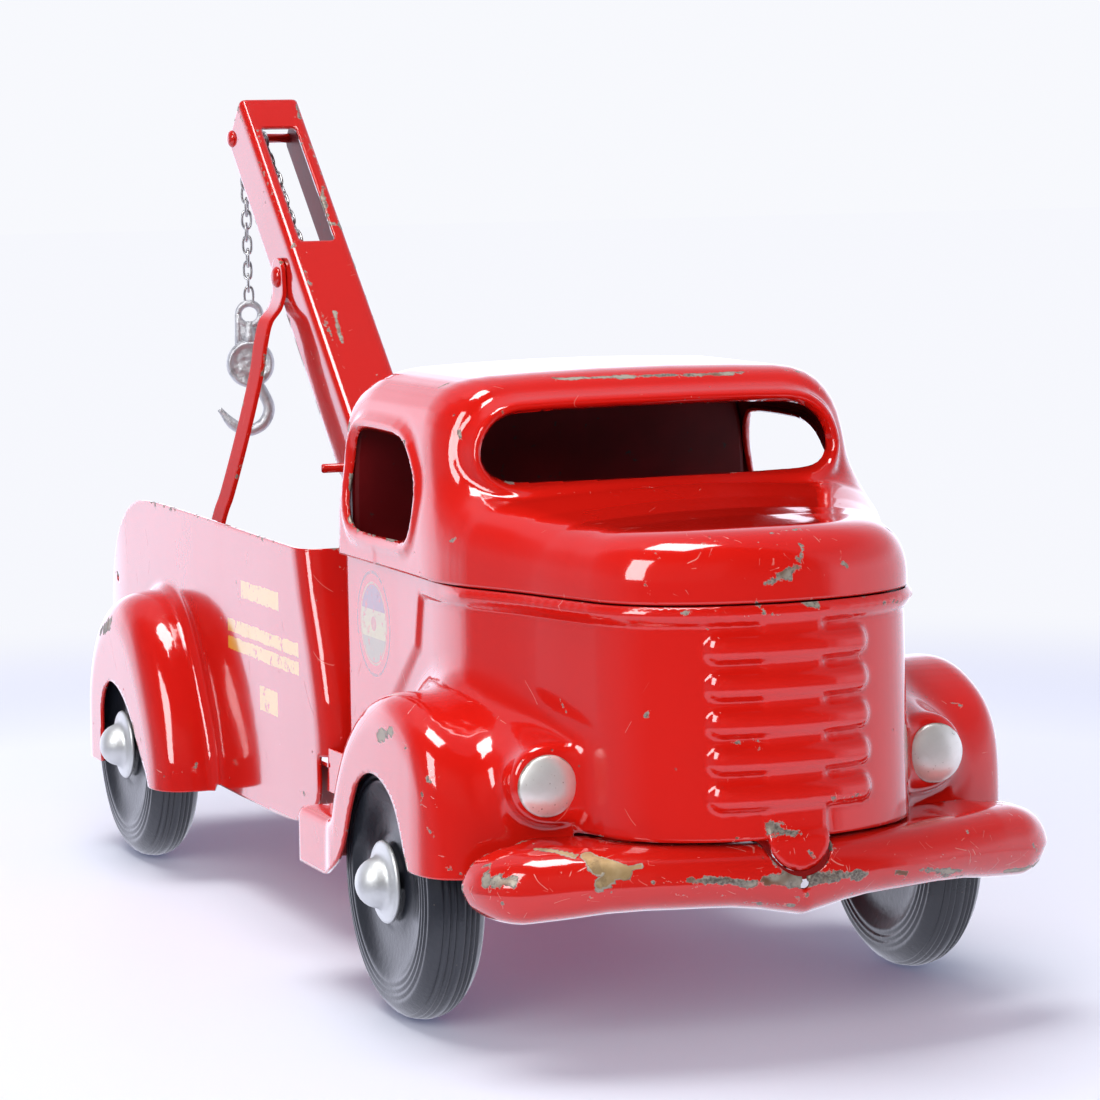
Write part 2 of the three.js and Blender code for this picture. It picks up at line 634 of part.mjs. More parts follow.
// ---------------------------------------------------------------- chain and hook
const chainBoomRun = () =>
  rod(boomPoint(0, -128, -9.2), boomPoint(-3, -5, -10.8), CHAIN_R, 10);
const hangingChain = (top, bottom) => bar('z', [CHAIN_X, CHAIN_Y], top, bottom, CHAIN_R, 10);

const EYE_Z = 147.4;
const EYE_R = 3.4;                // middle of the ring's section
const EYE_WIRE_R = 1.0;
// centre line of the hook's bend, x, y and z
const HOOK_BEND = [
  [1.2, 0, 127.5], [3.6, 0, 123.6], [5.3, 0, 118.6], [3.2, 0, 114], [-1.5, 0, 112.1],
  [-6, 0, 114.4], [-10, 0, 119.2],
];

// eye, neck, round block and bend, turned about the chain's line
function towHook() {
  const eye = new THREE.TorusGeometry(EYE_R, EYE_WIRE_R, 6, 16)
    .rotateX(-Math.PI / 2)
    .translate(0, 0, EYE_Z);
  const eyeBore = bar('y', [0, EYE_Z], -5, 5, EYE_R - EYE_WIRE_R, 20);
  const neck = box(across(2), across(1.6), [138, 145]).subtract(eyeBore);
  const placement = new THREE.Matrix4().makeTranslation(CHAIN_X, CHAIN_Y, 0)
    .multiply(new THREE.Matrix4().makeRotationZ(-radians(HOOK_YAW)));
  return toSolid(eye)
    .add(neck)
    .add(bar('y', [0, 132.5], -2.4, 2.4, 7.3, 20))
    .add(sweep(HOOK_BEND, 1.5, 12, 6))
    .transform([...placement.elements]);
}

// ---------------------------------------------------------------- running gear
// radius, and station outward from the tyre's mid-plane
const TYRE_PROFILE = [
  [AXLE_BORE_R, -6.2], [10, -6.2], [19, -5.2], [24, -TYRE_HALF], [27.5, -TYRE_HALF],
  [30.8, -4.2], [TYRE_R, 0], [30.8, 4.2], [27.5, TYRE_HALF], [24, TYRE_HALF],
  [19, 4.8], [10, 5.9], [AXLE_BORE_R, 5.9], [AXLE_BORE_R, -6.2],
];
// radius, and station outward from the centreline
const CAP_BORE_R = AXLE_R + 0.12;
const CAP_PROFILE = [
  [0, AXLE_END + GAP], [CAP_BORE_R, AXLE_END + GAP], [CAP_BORE_R, 68.7],
  [HUB_FLANGE_R, 68.7], [HUB_FLANGE_R, 69.5], [6.4, 70.3], [6.1, 73], [4.6, 75],
  [0, HUB_TIP_X],
];
// crimped ears keep each wheel out at the axle's end
const EAR_X = 54.8;
const EAR_HALF = [0.6, 0.8, 2.9]; // half sizes in x, y and z

function axle(y) {
  let solid = bar('x', [y, TYRE_R], -AXLE_END, AXLE_END, AXLE_R, 16);
  for (const [, sign] of SIDES) {
    const ranges = [sign * EAR_X, y, TYRE_R].map((c, i) => [c - EAR_HALF[i], c + EAR_HALF[i]]);
    solid = solid.add(box(...ranges));
  }
  return solid;
}

// ---------------------------------------------------------------- assembly
const group = new THREE.Group();
group.name = 'tow_truck';
const truck = new THREE.Group();
truck.position.y = -MID_Y;
group.add(truck);

function add(name, solid, material) {
  const mesh = new THREE.Mesh(toGeometry(solid), material());
  mesh.name = name;
  truck.add(mesh);
}

// a right and a left piece, each built from its sign of x
function addPair(name, build, material) {
  for (const [side, sign] of SIDES) add(`${name}_${side}`, build(sign), material);
}

add('cab_upper', cabUpper(), enamel);
add('lower_body', lowerBody(), enamel);
add('cab_back_panel', cabBackPanel(), enamel);
addPair('headlight', headlight, nickel);
add('front_bumper', frontBumper(), enamel);
addPair('bumper_rivet', bumperRivet, steel);

add('chassis_frame', chassisFrame(), enamelBed);
add('bed_side_left', bedSideLeft(), enamelBed);
add('bed_side_right', flipX(bedSideLeft()), enamelBed);
add('bed_floor', bedFloor(), enamelBed);
for (const [end, y] of FLOOR_RIVETS) add(`floor_rivet_${end}`, floorRivet(y), steel);

add('boom', boom(), enamel);
add('boom_foot_rivet', boomFootRivet(), steel);
add('boom_tip_pin', boomTipPin(), steel);
addPair('brace', (sign) => (sign > 0 ? braceLeft() : flipX(braceLeft())), enamel);
addPair('brace_top_rivet', braceTopRivet, darkSteel);
addPair('brace_foot_rivet', braceFootRivet, steel);

add('winch_shaft', winchShaft(), steel);
add('chain_wound', turnedX(WOUND_PROFILE, 16, [0, ...SHAFT]), steel);
add('chain_boom_run', chainBoomRun(), steel);
add('chain_upper', hangingChain(200.2, 186), steel);
add('chain_lower', hangingChain(185.2, 152.6), steel);
add('tow_hook', towHook(), castMetal);

for (const [end, y] of AXLES) add(`${end}_axle`, axle(y), steel);
for (const [end, y] of AXLES) {
  for (const [side, sign] of SIDES) {
    const tyre = turnedX(TYRE_PROFILE, 32, [sign * TYRE_X, y, TYRE_R], sign);
    add(`tyre_${end}_${side}`, tyre, rubber);
    add(`hubcap_${end}_${side}`, turnedX(CAP_PROFILE, 20, [0, y, TYRE_R], sign), aluminium);
  }
}

export default group;
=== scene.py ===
# Toy tow truck: sheet-metal surfaces, wheels, chain and hook built over the CAD frame,
# with their finishes and a small studio.
# It stands on z = 0 with its front towards -y and its left side towards +x.
import math
from itertools import product

import bmesh
import bpy
import numpy as np
from mathutils import Matrix, Vector
from mathutils.kdtree import KDTree


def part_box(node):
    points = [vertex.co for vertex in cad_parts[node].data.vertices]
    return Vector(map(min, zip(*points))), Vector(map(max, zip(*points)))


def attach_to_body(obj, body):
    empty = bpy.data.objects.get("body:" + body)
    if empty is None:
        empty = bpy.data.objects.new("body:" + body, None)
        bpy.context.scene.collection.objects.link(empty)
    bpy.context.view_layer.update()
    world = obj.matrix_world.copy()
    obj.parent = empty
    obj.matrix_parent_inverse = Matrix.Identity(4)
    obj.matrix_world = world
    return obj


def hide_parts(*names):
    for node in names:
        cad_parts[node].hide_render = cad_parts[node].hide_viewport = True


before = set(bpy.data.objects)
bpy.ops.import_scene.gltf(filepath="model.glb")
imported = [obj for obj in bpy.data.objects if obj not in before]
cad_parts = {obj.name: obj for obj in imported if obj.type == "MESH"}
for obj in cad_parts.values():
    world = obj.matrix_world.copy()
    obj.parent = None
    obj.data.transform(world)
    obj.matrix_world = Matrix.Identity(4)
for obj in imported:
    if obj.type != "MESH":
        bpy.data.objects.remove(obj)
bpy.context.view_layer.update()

# Drawing is in millimetres with y = 0 at the front axle; Y_SHIFT leads back to the frame.
low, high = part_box("front_axle")
Y_SHIFT = -(low.y + high.y) * 500.0
low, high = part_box("tyre_front_left")
AXLE_Z = (high.z - low.z) * 500.0      # the tyre radius
TYRE_X = (high.x + low.x) * 500.0
low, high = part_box("rear_axle")
REAR_Y = (low.y + high.y) * 500.0 + Y_SHIFT
MM = 0.001

CELL = 0.9      # grid size of the sheet surfaces
SHEET = 1.0                            # thickness of the body sheet
BOTH_SIDES = (("right", -1), ("left", 1))


# ------------------------------------------------------------------ fields
# A field is a distance in mm, negative inside; a cut is positive where the sheet stays.
def soft_min(first, second, blend):
    part = np.clip(0.5 + 0.5 * (second - first) / blend, 0, 1)
    return second + (first - second) * part - blend * part * (1 - part)


def soft_max(first, second, blend):
    return -soft_min(-first, -second, blend)


def smooth_step(value, start, end):
    part = np.clip((value - start) / (end - start), 0, 1)
    return part * part * (3 - 2 * part)


def ridge(value, centre, width):
    return np.exp(-((value - centre) / width) ** 2)


def cut_corners(points, passes=2):
    """rounds a closed outline by cutting every corner at its quarter points"""
    outline = np.array(points, float)
    for _ in range(passes):
        following = np.roll(outline, -1, 0)
        finer = np.empty((2 * len(outline), 2))
        finer[0::2] = outline * 0.75 + following * 0.25
        finer[1::2] = outline * 0.25 + following * 0.75
        outline = finer
    return outline


def mirror_outline(half):
    """whole outline from its +x half, which starts on the centre line"""
    return [(-u, v) for u, v in half[::-1]] + half[1:]


def outline_distance(outline, u, v):
    """distance to a closed outline, negative inside"""
    nearest = np.full(u.shape, 1e18)
    inside = np.zeros(u.shape, bool)
    for (u0, v0), (u1, v1) in zip(outline, np.roll(outline, -1, 0)):
        edge_u, edge_v = u1 - u0, v1 - v0
        from_u, from_v = u - u0, v - v0
        length2 = edge_u * edge_u + edge_v * edge_v + 1e-12
        part = np.clip((from_u * edge_u + from_v * edge_v) / length2, 0, 1)
        off_u, off_v = from_u - edge_u * part, from_v - edge_v * part
        nearest = np.minimum(nearest, off_u * off_u + off_v * off_v)
        if v0 != v1:
            crossed = (v0 <= v) != (v1 <= v)
            inside ^= crossed & (from_u < edge_u * from_v / edge_v)
    nearest = np.sqrt(nearest)
    return np.where(inside, -nearest, nearest)


class OutlineField:
    """outline distance held on a grid over span = (u0, u1, v0, v1) and interpolated"""

    def __init__(self, outline, span, step=0.4):
        u0, u1, v0, v1 = span
        self.start, self.step = (u0, v0), step
        self.count = int((u1 - u0) / step) + 1, int((v1 - v0) / step) + 1
        axes = [s + step * np.arange(n) for s, n in zip(self.start, self.count)]
        self.grid = outline_distance(np.asarray(outline, float),
                                     *np.meshgrid(*axes, indexing="ij"))

    def __call__(self, u, v):
        u = np.clip((u - self.start[0]) / self.step, 0, self.count[0] - 1.001)
        v = np.clip((v - self.start[1]) / self.step, 0, self.count[1] - 1.001)
        i, j = u.astype(int), v.astype(int)
        u, v = u - i, v - j
        grid = self.grid
        return ((grid[i, j] * (1 - u) + grid[i + 1, j] * u) * (1 - v)
                + (grid[i, j + 1] * (1 - u) + grid[i + 1, j + 1] * u) * v)


def gradient(field, points, step=0.05):
    """slope and value of a field at the points"""
    slope = np.empty_like(points)
    for k in range(3):
        offset = np.zeros(3)
        offset[k] = step
        ahead, behind = points + offset, points - offset
        slope[:, k] = (field(*ahead.T) - field(*behind.T)) / (2 * step)
    return slope, field(*points.T)


def surface_nets(field, low, high, cell):
    """quads on field = 0 over a box, with their points pulled onto the surface"""
    low, high = np.array(low, float), np.array(high, float)
    count = np.ceil((high - low) / cell).astype(int) + 1
    axes = [low[k] + cell * np.arange(count[k]) for k in range(3)]
    values = np.empty(count)
    slab = max(1, int(400000 / (count[1] * count[2])))    # limits the memory in use
    for i in range(0, count[0], slab):
        values[i:i + slab] = field(*np.meshgrid(axes[0][i:i + slab], *axes[1:], indexing="ij"))
    inside = values < 0
    corners = list(product((0, 1), repeat=3))
    filled = np.zeros(count - 1, np.int8)
    for corner in corners:
        filled += inside[tuple(slice(corner[k], count[k] - 1 + corner[k]) for k in range(3))]
    cells = np.stack(np.nonzero((filled > 0) & (filled < 8)), 1)
    number = -np.ones(count - 1, int)
    number[tuple(cells.T)] = np.arange(len(cells))

    # each cell gets the mean of the places where its edges cross the surface
    total = np.zeros((len(cells), 3))
    crossings = np.zeros(len(cells))
    for corner in corners:
        for k in range(3):
            if corner[k]:
                continue
            other = list(corner)
            other[k] = 1
            here = values[tuple((cells + corner).T)]
            there = values[tuple((cells + other).T)]
            crossed = (here < 0) != (there < 0)
            place = np.array(corner, float)[None, :].repeat(len(cells), 0)
            place[:, k] += np.where(crossed, here / np.where(crossed, here - there, 1), 0)
            total[crossed] += place[crossed]
            crossings[crossed] += 1
    points = low + (cells + total / crossings[:, None]) * cell

    faces = []
    for k in range(3):
        u, v = (k + 1) % 3, (k + 2) % 3
        near = inside[tuple(slice(0, -1) if m == k else slice(1, -1) for m in range(3))]
        far = inside[tuple(slice(1, None) if m == k else slice(1, -1) for m in range(3))]
        for flip, mask in ((False, near & ~far), (True, ~near & far)):
            edges = np.stack(np.nonzero(mask), 1)
            edges[:, u] += 1
            edges[:, v] += 1
            quad = []
            for du, dv in ((-1, -1), (0, -1), (0, 0), (-1, 0)):
                around = edges.copy()
                around[:, u] += du
                around[:, v] += dv
                quad.append(number[tuple(around.T)])
            quads = np.stack(quad, 1)
            faces.append(quads[:, ::-1] if flip else quads)
    for _ in range(3):
        slope, value = gradient(field, points)
        move = np.clip(value / (slope * slope).sum(1).clip(0.05), -cell, cell)
        points = points - move[:, None] * slope
    return points, np.vstack(faces)


def trim(points, faces, cut, cell, field):
    """keeps the mesh where cut >= 0; faces that cross the line are cut along it"""
    points = points.copy()
    near = np.abs(cut(*points.T)) < 0.3 * cell
    for _ in range(3):                 # slide near points along the surface onto the line
        moved = points[near]
        cut_slope, cut_value = gradient(cut, moved)
        normal, value = gradient(field, moved)
        unit = normal / np.linalg.norm(normal, axis=1).clip(1e-9)[:, None]
        tangent = cut_slope - (cut_slope * unit).sum(1)[:, None] * unit
        size = (tangent * tangent).sum(1)
        slide = np.where(size > 0.2, np.clip(cut_value / size.clip(0.2),
                                             -0.35 * cell, 0.35 * cell), 0)
        points[near] = (moved - slide[:, None] * tangent
                        - np.clip(value, -cell, cell)[:, None] * unit)
    value = cut(*points.T)
    slack = 0.04 * cell
    state = np.where(value > slack, 1, np.where(value < -slack, -1, 0))
    corner_state = state[faces]
    lowest, highest = corner_state.min(1), corner_state.max(1)
    kept = [tuple(quad) for quad in faces[(lowest >= 0) & (highest > 0)]]
    added, cache = [], {}
    for quad in faces[(lowest < 0) & (highest > 0)]:
        polygon = []
        for i in range(4):
            here, there = int(quad[i]), int(quad[(i + 1) % 4])
            if state[here] >= 0:
                polygon.append(here)
            if state[here] * state[there] < 0:
                first, last = key = (min(here, there), max(here, there))
                if key not in cache:
                    part = value[first] / (value[first] - value[last])
                    cache[key] = len(points) + len(added)
                    added.append(points[first] * (1 - part) + points[last] * part)
                polygon.append(cache[key])
        if len(polygon) > 2:
            kept.append(tuple(polygon))
    if added:
        points = np.vstack([points, added])
    return compact(points, kept)


def compact(points, faces):
    """drops the points that no face uses"""
    used = np.unique(np.concatenate([np.asarray(face, int) for face in faces]))
    number = -np.ones(len(points), int)
    number[used] = np.arange(len(used))
    return points[used], [tuple(number[list(face)]) for face in faces]


# ------------------------------------------------------------------ object helpers
def mesh_object(name, points, faces, smooth=True, mm=True):
    points = np.asarray(points, float)
    if mm:
        points = (points - np.array([0, Y_SHIFT, 0])) / 1000.0
    mesh = bpy.data.meshes.new(name)
    mesh.from_pydata(points.tolist(), [], [tuple(int(i) for i in face) for face in faces])
    mesh.validate()
    mesh.update()
    if smooth:
        mesh.polygons.foreach_set("use_smooth", [True] * len(mesh.polygons))
    piece = bpy.data.objects.new(name, mesh)
    bpy.context.scene.collection.objects.link(piece)
    return piece


def solid_object(name, points, faces):
    """closed mesh with its normals turned outwards"""
    piece = mesh_object(name, points, faces)
    work = bmesh.new()
    work.from_mesh(piece.data)
    bmesh.ops.recalc_face_normals(work, faces=work.faces)
    work.to_mesh(piece.data)
    work.free()
    return piece


def solidify(piece, thickness, offset=-1.0):
    sheet = piece.modifiers.new("sheet", "SOLIDIFY")
    sheet.thickness = thickness / 1000.0
    sheet.offset = offset
    sheet.use_even_offset = False


def bevel(piece, width, angle=40):
    edge = piece.modifiers.new("edge", "BEVEL")
    edge.width = width / 1000.0
    edge.segments = 2
    edge.limit_method = "ANGLE"
    edge.angle_limit = math.radians(angle)
    edge.harden_normals = False


def shell(name, field, cut, low, high, cell=CELL):
    """sheet-metal piece on the surface of a field"""
    points, faces = surface_nets(field, low, high, cell)
    piece = mesh_object(name, *trim(points, faces, cut, cell, field))
    solidify(piece, SHEET)
    return piece


def drawn_points(piece):
    """mesh points in mm, in the drawing's own position"""
    flat = np.zeros(len(piece.data.vertices) * 3, np.float32)
    piece.data.vertices.foreach_get("co", flat)
    points = flat.reshape(-1, 3).astype(float) * 1000.0
    points[:, 1] += Y_SHIFT
    return points


def join_parts(parts):
    points, faces, count = [], [], 0
    for part_points, part_faces in parts:
        points.append(np.asarray(part_points, float))
        faces += [tuple(i + count for i in face) for face in part_faces]
        count += len(part_points)
    return np.vstack(points), faces


def ring_faces(rings, count, closed=False):
    """quads between successive closed rings of count points"""
    faces = []
    for i in range(rings if closed else rings - 1):
        j = (i + 1) % rings
        for k in range(count):
            m = (k + 1) % count
            faces.append((i * count + k, i * count + m, j * count + m, j * count + k))
    return faces


def revolve(profile, segments, at=(0, 0, 0), sign=1):
    """turns a profile of (radius, station) round the x axis"""
    points, faces, first = [], [], []
    for radius, station in profile:
        first.append(len(points))
        if radius < 1e-6:
            points.append((station, 0, 0))
            continue
        for k in range(segments):
            angle = 2 * math.pi * k / segments
            points.append((station, radius * math.cos(angle), radius * math.sin(angle)))
    for i in range(len(profile) - 1):
        here, there = first[i], first[i + 1]
        open_here, open_there = profile[i][0] > 1e-6, profile[i + 1][0] > 1e-6
        for k in range(segments):
            m = (k + 1) % segments
            if open_here and open_there:
                faces.append((here + k, here + m, there + m, there + k))
            elif open_here:
                faces.append((here + k, here + m, there))
            elif open_there:
                faces.append((here, there + m, there + k))
    if sign < 0:
        faces = [face[::-1] for face in faces]
    return np.array(points, float) * np.array([sign, 1, 1]) + np.array(at, float), faces


def square_to(vector, axis):
    """unit vector: the part of vector at right angles to a unit axis"""
    rest = vector - axis * (vector @ axis)
    return rest / np.linalg.norm(rest)


def directions(path):
    tangent = np.gradient(path, axis=0)
    return tangent / np.linalg.norm(tangent, axis=1)[:, None]


def tube(path, radius, sides=8, closed=False):
    """round bar along a polyline"""
    path = np.array(path, float)
    count = len(path)
    radii = np.full(count, radius) if np.isscalar(radius) else np.array(radius, float)
    if closed:
        along = np.roll(path, -1, 0) - np.roll(path, 1, 0)
        along /= np.linalg.norm(along, axis=1)[:, None]
    else:
        along = directions(path)
    start = np.array([0, 0, 1.0]) if abs(along[0, 2]) < 0.9 else np.array([1.0, 0, 0])
    normal = square_to(start, along[0])
    points = []
    for i in range(count):
        normal = square_to(normal, along[i])
        across = np.cross(along[i], normal)
        for k in range(sides):
            angle = 2 * math.pi * k / sides
            points.append(path[i] + radii[i] * (math.cos(angle) * normal
                                                + math.sin(angle) * across))
    faces = ring_faces(count, sides, closed)
    if not closed:
        faces.append(tuple(range(sides))[::-1])
        faces.append(tuple((count - 1) * sides + k for k in range(sides)))
    return np.array(points), faces


def smooth_path(points, count):
    """open Catmull-Rom curve through the points"""
    knots = np.array(points, float)
    spans = len(knots) - 1
    per_span = max(2, count // spans)
    path = []
    for i in range(spans):
        here, there = knots[i], knots[i + 1]
        before = knots[i - 1] if i > 0 else 2 * knots[0] - knots[1]
        after = knots[i + 2] if i < spans - 1 else 2 * knots[-1] - knots[-2]
        for t in np.arange(per_span) / per_span:
            path.append(0.5 * ((2 * here) + (there - before) * t
                               + (2 * before - 5 * here + 4 * there - after) * t * t
                               + (3 * here - before - 3 * there + after) * t ** 3))
    path.append(knots[-1])
    return np.array(path)


def plate(outline, low, high, soft=0.25):
    """flat plate between two heights with softened rims"""
    outer = np.array(outline, float)
    count = len(outer)
    inward = outer.mean(0) - outer
    inner = outer + inward / np.linalg.norm(inward, axis=1)[:, None] * soft
    rings = ((inner, low), (outer, low + soft), (outer, high - soft), (inner, high))
    points = np.vstack([np.c_[ring, np.full(count, height)] for ring, height in rings])
    faces = [tuple(range(count))[::-1], tuple(3 * count + i for i in range(count))]
    return points, faces + ring_faces(4, count)


def round_rect(u0, u1, v0, v1, radius, segments=6):
    outline = []
    for u, v, start in ((u1 - radius, v0 + radius, -90), (u1 - radius, v1 - radius, 0),
                        (u0 + radius, v1 - radius, 90), (u0 + radius, v0 + radius, 180)):
        for i in range(segments + 1):
            angle = math.radians(start + 90 * i / segments)
            outline.append((u + radius * math.cos(angle), v + radius * math.sin(angle)))
    return outline


# ------------------------------------------------------------------ cab, lower stamping
BELT_Z = 99.0                                # seam between lower body and cab
RIB_Z = [57.3, 65.3, 73.3, 81.3, 89.3]       # grille ribs
LAMP = (47.3, -46.2, 59.0)                   # left headlight centre
TONGUE_Z, TONGUE_R = 48.2, 7.2               # round tongue at the foot of the grille
DOOR_LINE = [40, 60, 67, 75, 82, 94], [46, 43, 37.5, 28, 19.5, 16.5]    # heights, y

# cab seen from above, +x half: x, y
PLAN = OutlineField(cut_corners(mirror_outline([
    (0, -70.6), (11, -69.6), (20, -67.2), (28, -63.2), (33.6, -58.2), (37.2, -52.2),
    (39.4, -45.5), (42.2, -37), (45.6, -26), (50.3, -15), (53, -8.6), (54, 3), (53.4, 20),
    (53, 40), (53, 110)])), (-2, 80, -85, 85))
# front fender from the side: y, z
FENDER_SIDE = OutlineField(cut_corners([
    (-42, 15), (-42, 38.5), (-41.3, 47), (-38.8, 56), (-33.5, 64.5), (-25, 71.2), (-14, 75.4),
    (-4, 75.8), (6, 73.4), (15, 68.8), (22.5, 62.5), (28, 55.5), (32, 48), (34.5, 41),
    (36, 30), (36, 15)]), (-60, 75, 10, 110))
# front fender from above: x, y
FENDER_PLAN = OutlineField(cut_corners([
    (30, 60), (30, -44.5), (44, -44), (50, -43.2), (57, -42), (64, -39.6), (69, -36),
    (71.6, -30.5), (72.2, -22), (72.2, 60)]), (20, 85, -60, 62))
# front wheel arch: y, z
FRONT_ARCH = OutlineField(cut_corners([
    (-24.1, 5), (-24.1, 38.5), (-21.6, 40.8), (-18.7, 47), (-14.5, 53.1), (-6.1, 57),
    (2, 57.1), (10.5, 53.7), (14.4, 48.5), (16.8, 44.6), (20.9, 36.9), (26.3, 31.3),
    (36, 27.4), (37, 27.3), (37, 5)]), (-50, 60, 0, 80))


def plan_distance(x, y, z):
    """plan outline, with the nose leaning back below the belt"""
    lean = 0.043 * (BELT_Z - z) * smooth_step(y, -30, -58)
    return PLAN(np.abs(x), y + lean)


def capsule(x, y, z, start, end, radius):
    start, end = np.array(start, float), np.array(end, float)
    axis = end - start
    from_x, from_y, from_z = x - start[0], y - start[1], z - start[2]
    part = (from_x * axis[0] + from_y * axis[1] + from_z * axis[2]) / (axis @ axis)
    part = np.clip(part, 0, 1)
    return np.sqrt((from_x - part * axis[0]) ** 2 + (from_y - part * axis[1]) ** 2
                   + (from_z - part * axis[2]) ** 2) - radius


def lower_field(x, y, z):
    wide = np.abs(x)
    plan = plan_distance(x, y, z)
    # the panels ahead of the doors are pressed in below the belt band
    softness = np.interp(z, [60, 82, 94], [7.0, 3.0, 2.0])
    ahead = (np.interp(z, *DOOR_LINE) - y) / softness
    inset = 0.95 * smooth_step(z, 95.4, 93.6) * smooth_step(ahead, -0.5, 0.5)
    bead = 1.05 * ridge(z, 97.1, 1.25) * smooth_step(y, 4, -12)
    groove = 0.35 * ridge(z, 94.3, 0.7) * smooth_step(y, 4, -10)
    body = plan + inset - bead + groove
    # grille ribs, a little flatter above than below
    for rib_z in RIB_Z:
        rise = np.where(z > rib_z, (z - rib_z) * 0.92, (z - rib_z) * 1.12)
        rib = np.sqrt(np.maximum(wide - 16.3, 0) ** 2 + rise ** 2
                      + (np.maximum(body, -8) + 1.1) ** 2) - 3.5
        body = np.where(y < -45, soft_min(body, rib, 0.8), body)
    fender = soft_max(FENDER_SIDE(y, z), FENDER_PLAN(wide, y), 8.0)
    body = soft_min(body, fender, 8.5)
    pod = capsule(wide, y, z, (LAMP[0], -50, LAMP[2]), (44.5, -14, 61.5), 8.4)
    body = soft_min(body, soft_max(pod, -44.9 - y, 3.0), 7.0)
    board = soft_max(wide - 71.5, np.abs(y - 43.5) - 13.1, 2.4)
    board = soft_max(board, np.abs(z - 30) - 10.7, 2.4)
    body = soft_min(body, board, 2.6)
    tongue = np.hypot(x, np.minimum(z - TONGUE_Z, 0)) - TONGUE_R
    tongue = soft_max(tongue, plan - 1.35 * smooth_step(z, 50.8, 47.6), 0.9)
    return np.where(y < -45, soft_min(body, tongue, 0.8), body)


def lower_cut(x, y, z):
    wide = np.abs(x)
    bottom = np.where(y < 0, 38.5, 27.4)
    bottom = np.where(y > 57.2, 38.0, bottom)
    bottom = np.where((y < -40) & (wide < 41), TONGUE_Z - 0.2, bottom)
    keep = np.minimum(z - bottom, BELT_Z - 0.2 - z)
    keep = np.where((wide < TONGUE_R) & (y < -55),
                    np.maximum(keep, TONGUE_R - np.hypot(wide, z - TONGUE_Z)), keep)
    # behind the cab only a low strip on each side goes on
    strip = np.minimum(np.minimum(86.2 - y, 46.0 - z), wide - 49.0)
    keep = np.minimum(keep, np.maximum(69.3 - y, strip))
    keep = np.where(wide > 60, np.minimum(keep, FRONT_ARCH(y, z)), keep)
    socket = np.hypot(wide - LAMP[0], z - LAMP[2]) - 5.6
    return np.where(y < -38, np.minimum(keep, socket), keep)


# ------------------------------------------------------------------ cab, upper stamping
# front of the cab from the side: y, z
CAB_SIDE = OutlineField([
    (-4, 80), (-4, 99), (-3.6, 108), (-2.6, 115), (-0.9, 122), (0.5, 130), (1.4, 136),
    (3.0, 145), (7.0, 170), (110, 170), (110, 80)], (-90, 90, 85, 160))
# cab from the front, +x half: x, z
CAB_FRONT = OutlineField(cut_corners(mirror_outline([
    (0, 145.6), (34, 144.8), (42, 143.8), (47.4, 141.2), (51.2, 136), (53, 127),
    (53.6, 118), (54, 104), (54.2, 80)]), 1), (-5, 75, 85, 160))
# side window: y, z
SIDE_WINDOW = OutlineField(cut_corners([
    (58.0, 130.1), (45, 130.2), (31.0, 129.8), (24.8, 127.6), (20.6, 123.8), (17.5, 119.2),
    (16.6, 114.6), (18.2, 109.4), (22.6, 106.4), (32.6, 106.1), (46, 105.9), (58, 106.2),
    (62.6, 108.4), (64.2, 113.2), (64.4, 121), (63.6, 126.5), (61.6, 129.3)], 1),
    (0, 80, 90, 145), step=0.3)
# windscreen, +x half: x, z; it ends on the centre line, so the repeated point is dropped
SCREEN = OutlineField(cut_corners(mirror_outline([
    (0, 121.0), (30, 121.0), (37.5, 121.2), (41.3, 122.5), (43.3, 125.3), (43.5, 128.2),
    (42.4, 131.4), (40.3, 134.0), (37.3, 135.9), (32, 136.7), (0, 137.0)])[:-1], 1),
    (-2, 60, 100, 150), step=0.3)
# height of the pressed frame round an opening, by distance from its edge
FRAME_FROM = [-3, 0, 0.8, 1.7, 2.6, 3.5, 4.5, 6.5]
FRAME_AT = np.linspace(-3, 6.5, 64)
# top line of the hood: y, z
HOOD_LINE = ([-80, -62, -50, -42, -32, -22, -12, -5, 5, 20],
             [113.7, 114.3, 114.8, 115.1, 115.8, 117.3, 119.2, 120.4, 121.2, 121.6])


def smoothed(heights):
    values = np.interp(FRAME_AT, FRAME_FROM, heights)
    for _ in range(4):
        values = np.convolve(np.pad(values, 1, mode="edge"), [0.25, 0.5, 0.25], "valid")
    return values


SCREEN_FRAME = smoothed([-1.9, -1.0, 1.2, 2.0, 1.8, 0.4, -0.35, 0.0])
WINDOW_FRAME = smoothed([-1.6, -0.8, 0.8, 1.4, 1.2, 0.25, -0.15, 0.0])


def upper_field(x, y, z):
    wide = np.abs(x)
    plan = plan_distance(x, y, z)
    hood_z = np.interp(y, *HOOD_LINE) - 0.0014 * x * x
    hood = soft_max(plan, (z - hood_z) * 0.995, 11.5)
    roof = CAB_FRONT(wide, z + 0.014 * np.maximum(y - 56, 0) ** 2)
    cab = soft_max(CAB_SIDE(y, z), roof, 12.5 + 3.5 * smooth_step(wide, 38, 50))
    cab = soft_max(cab, plan, 2.0)
    screen = np.interp(SCREEN(wide, z), FRAME_AT, SCREEN_FRAME)
    cab = cab - np.where(y < 24, screen, 0) * smooth_step(y, 17, 11)
    window = np.interp(SIDE_WINDOW(y, z), FRAME_AT, WINDOW_FRAME)
    outboard = smooth_step(wide, 44, 49)
    cab = cab - np.where(wide > 40, window, 0) * outboard
    # pressed line under the side window
    cab = cab - 0.3 * smooth_step(z, 103.3, 102.7) * smooth_step(y, 43, 43.6) * outboard
    return soft_min(hood, cab, 7.0)


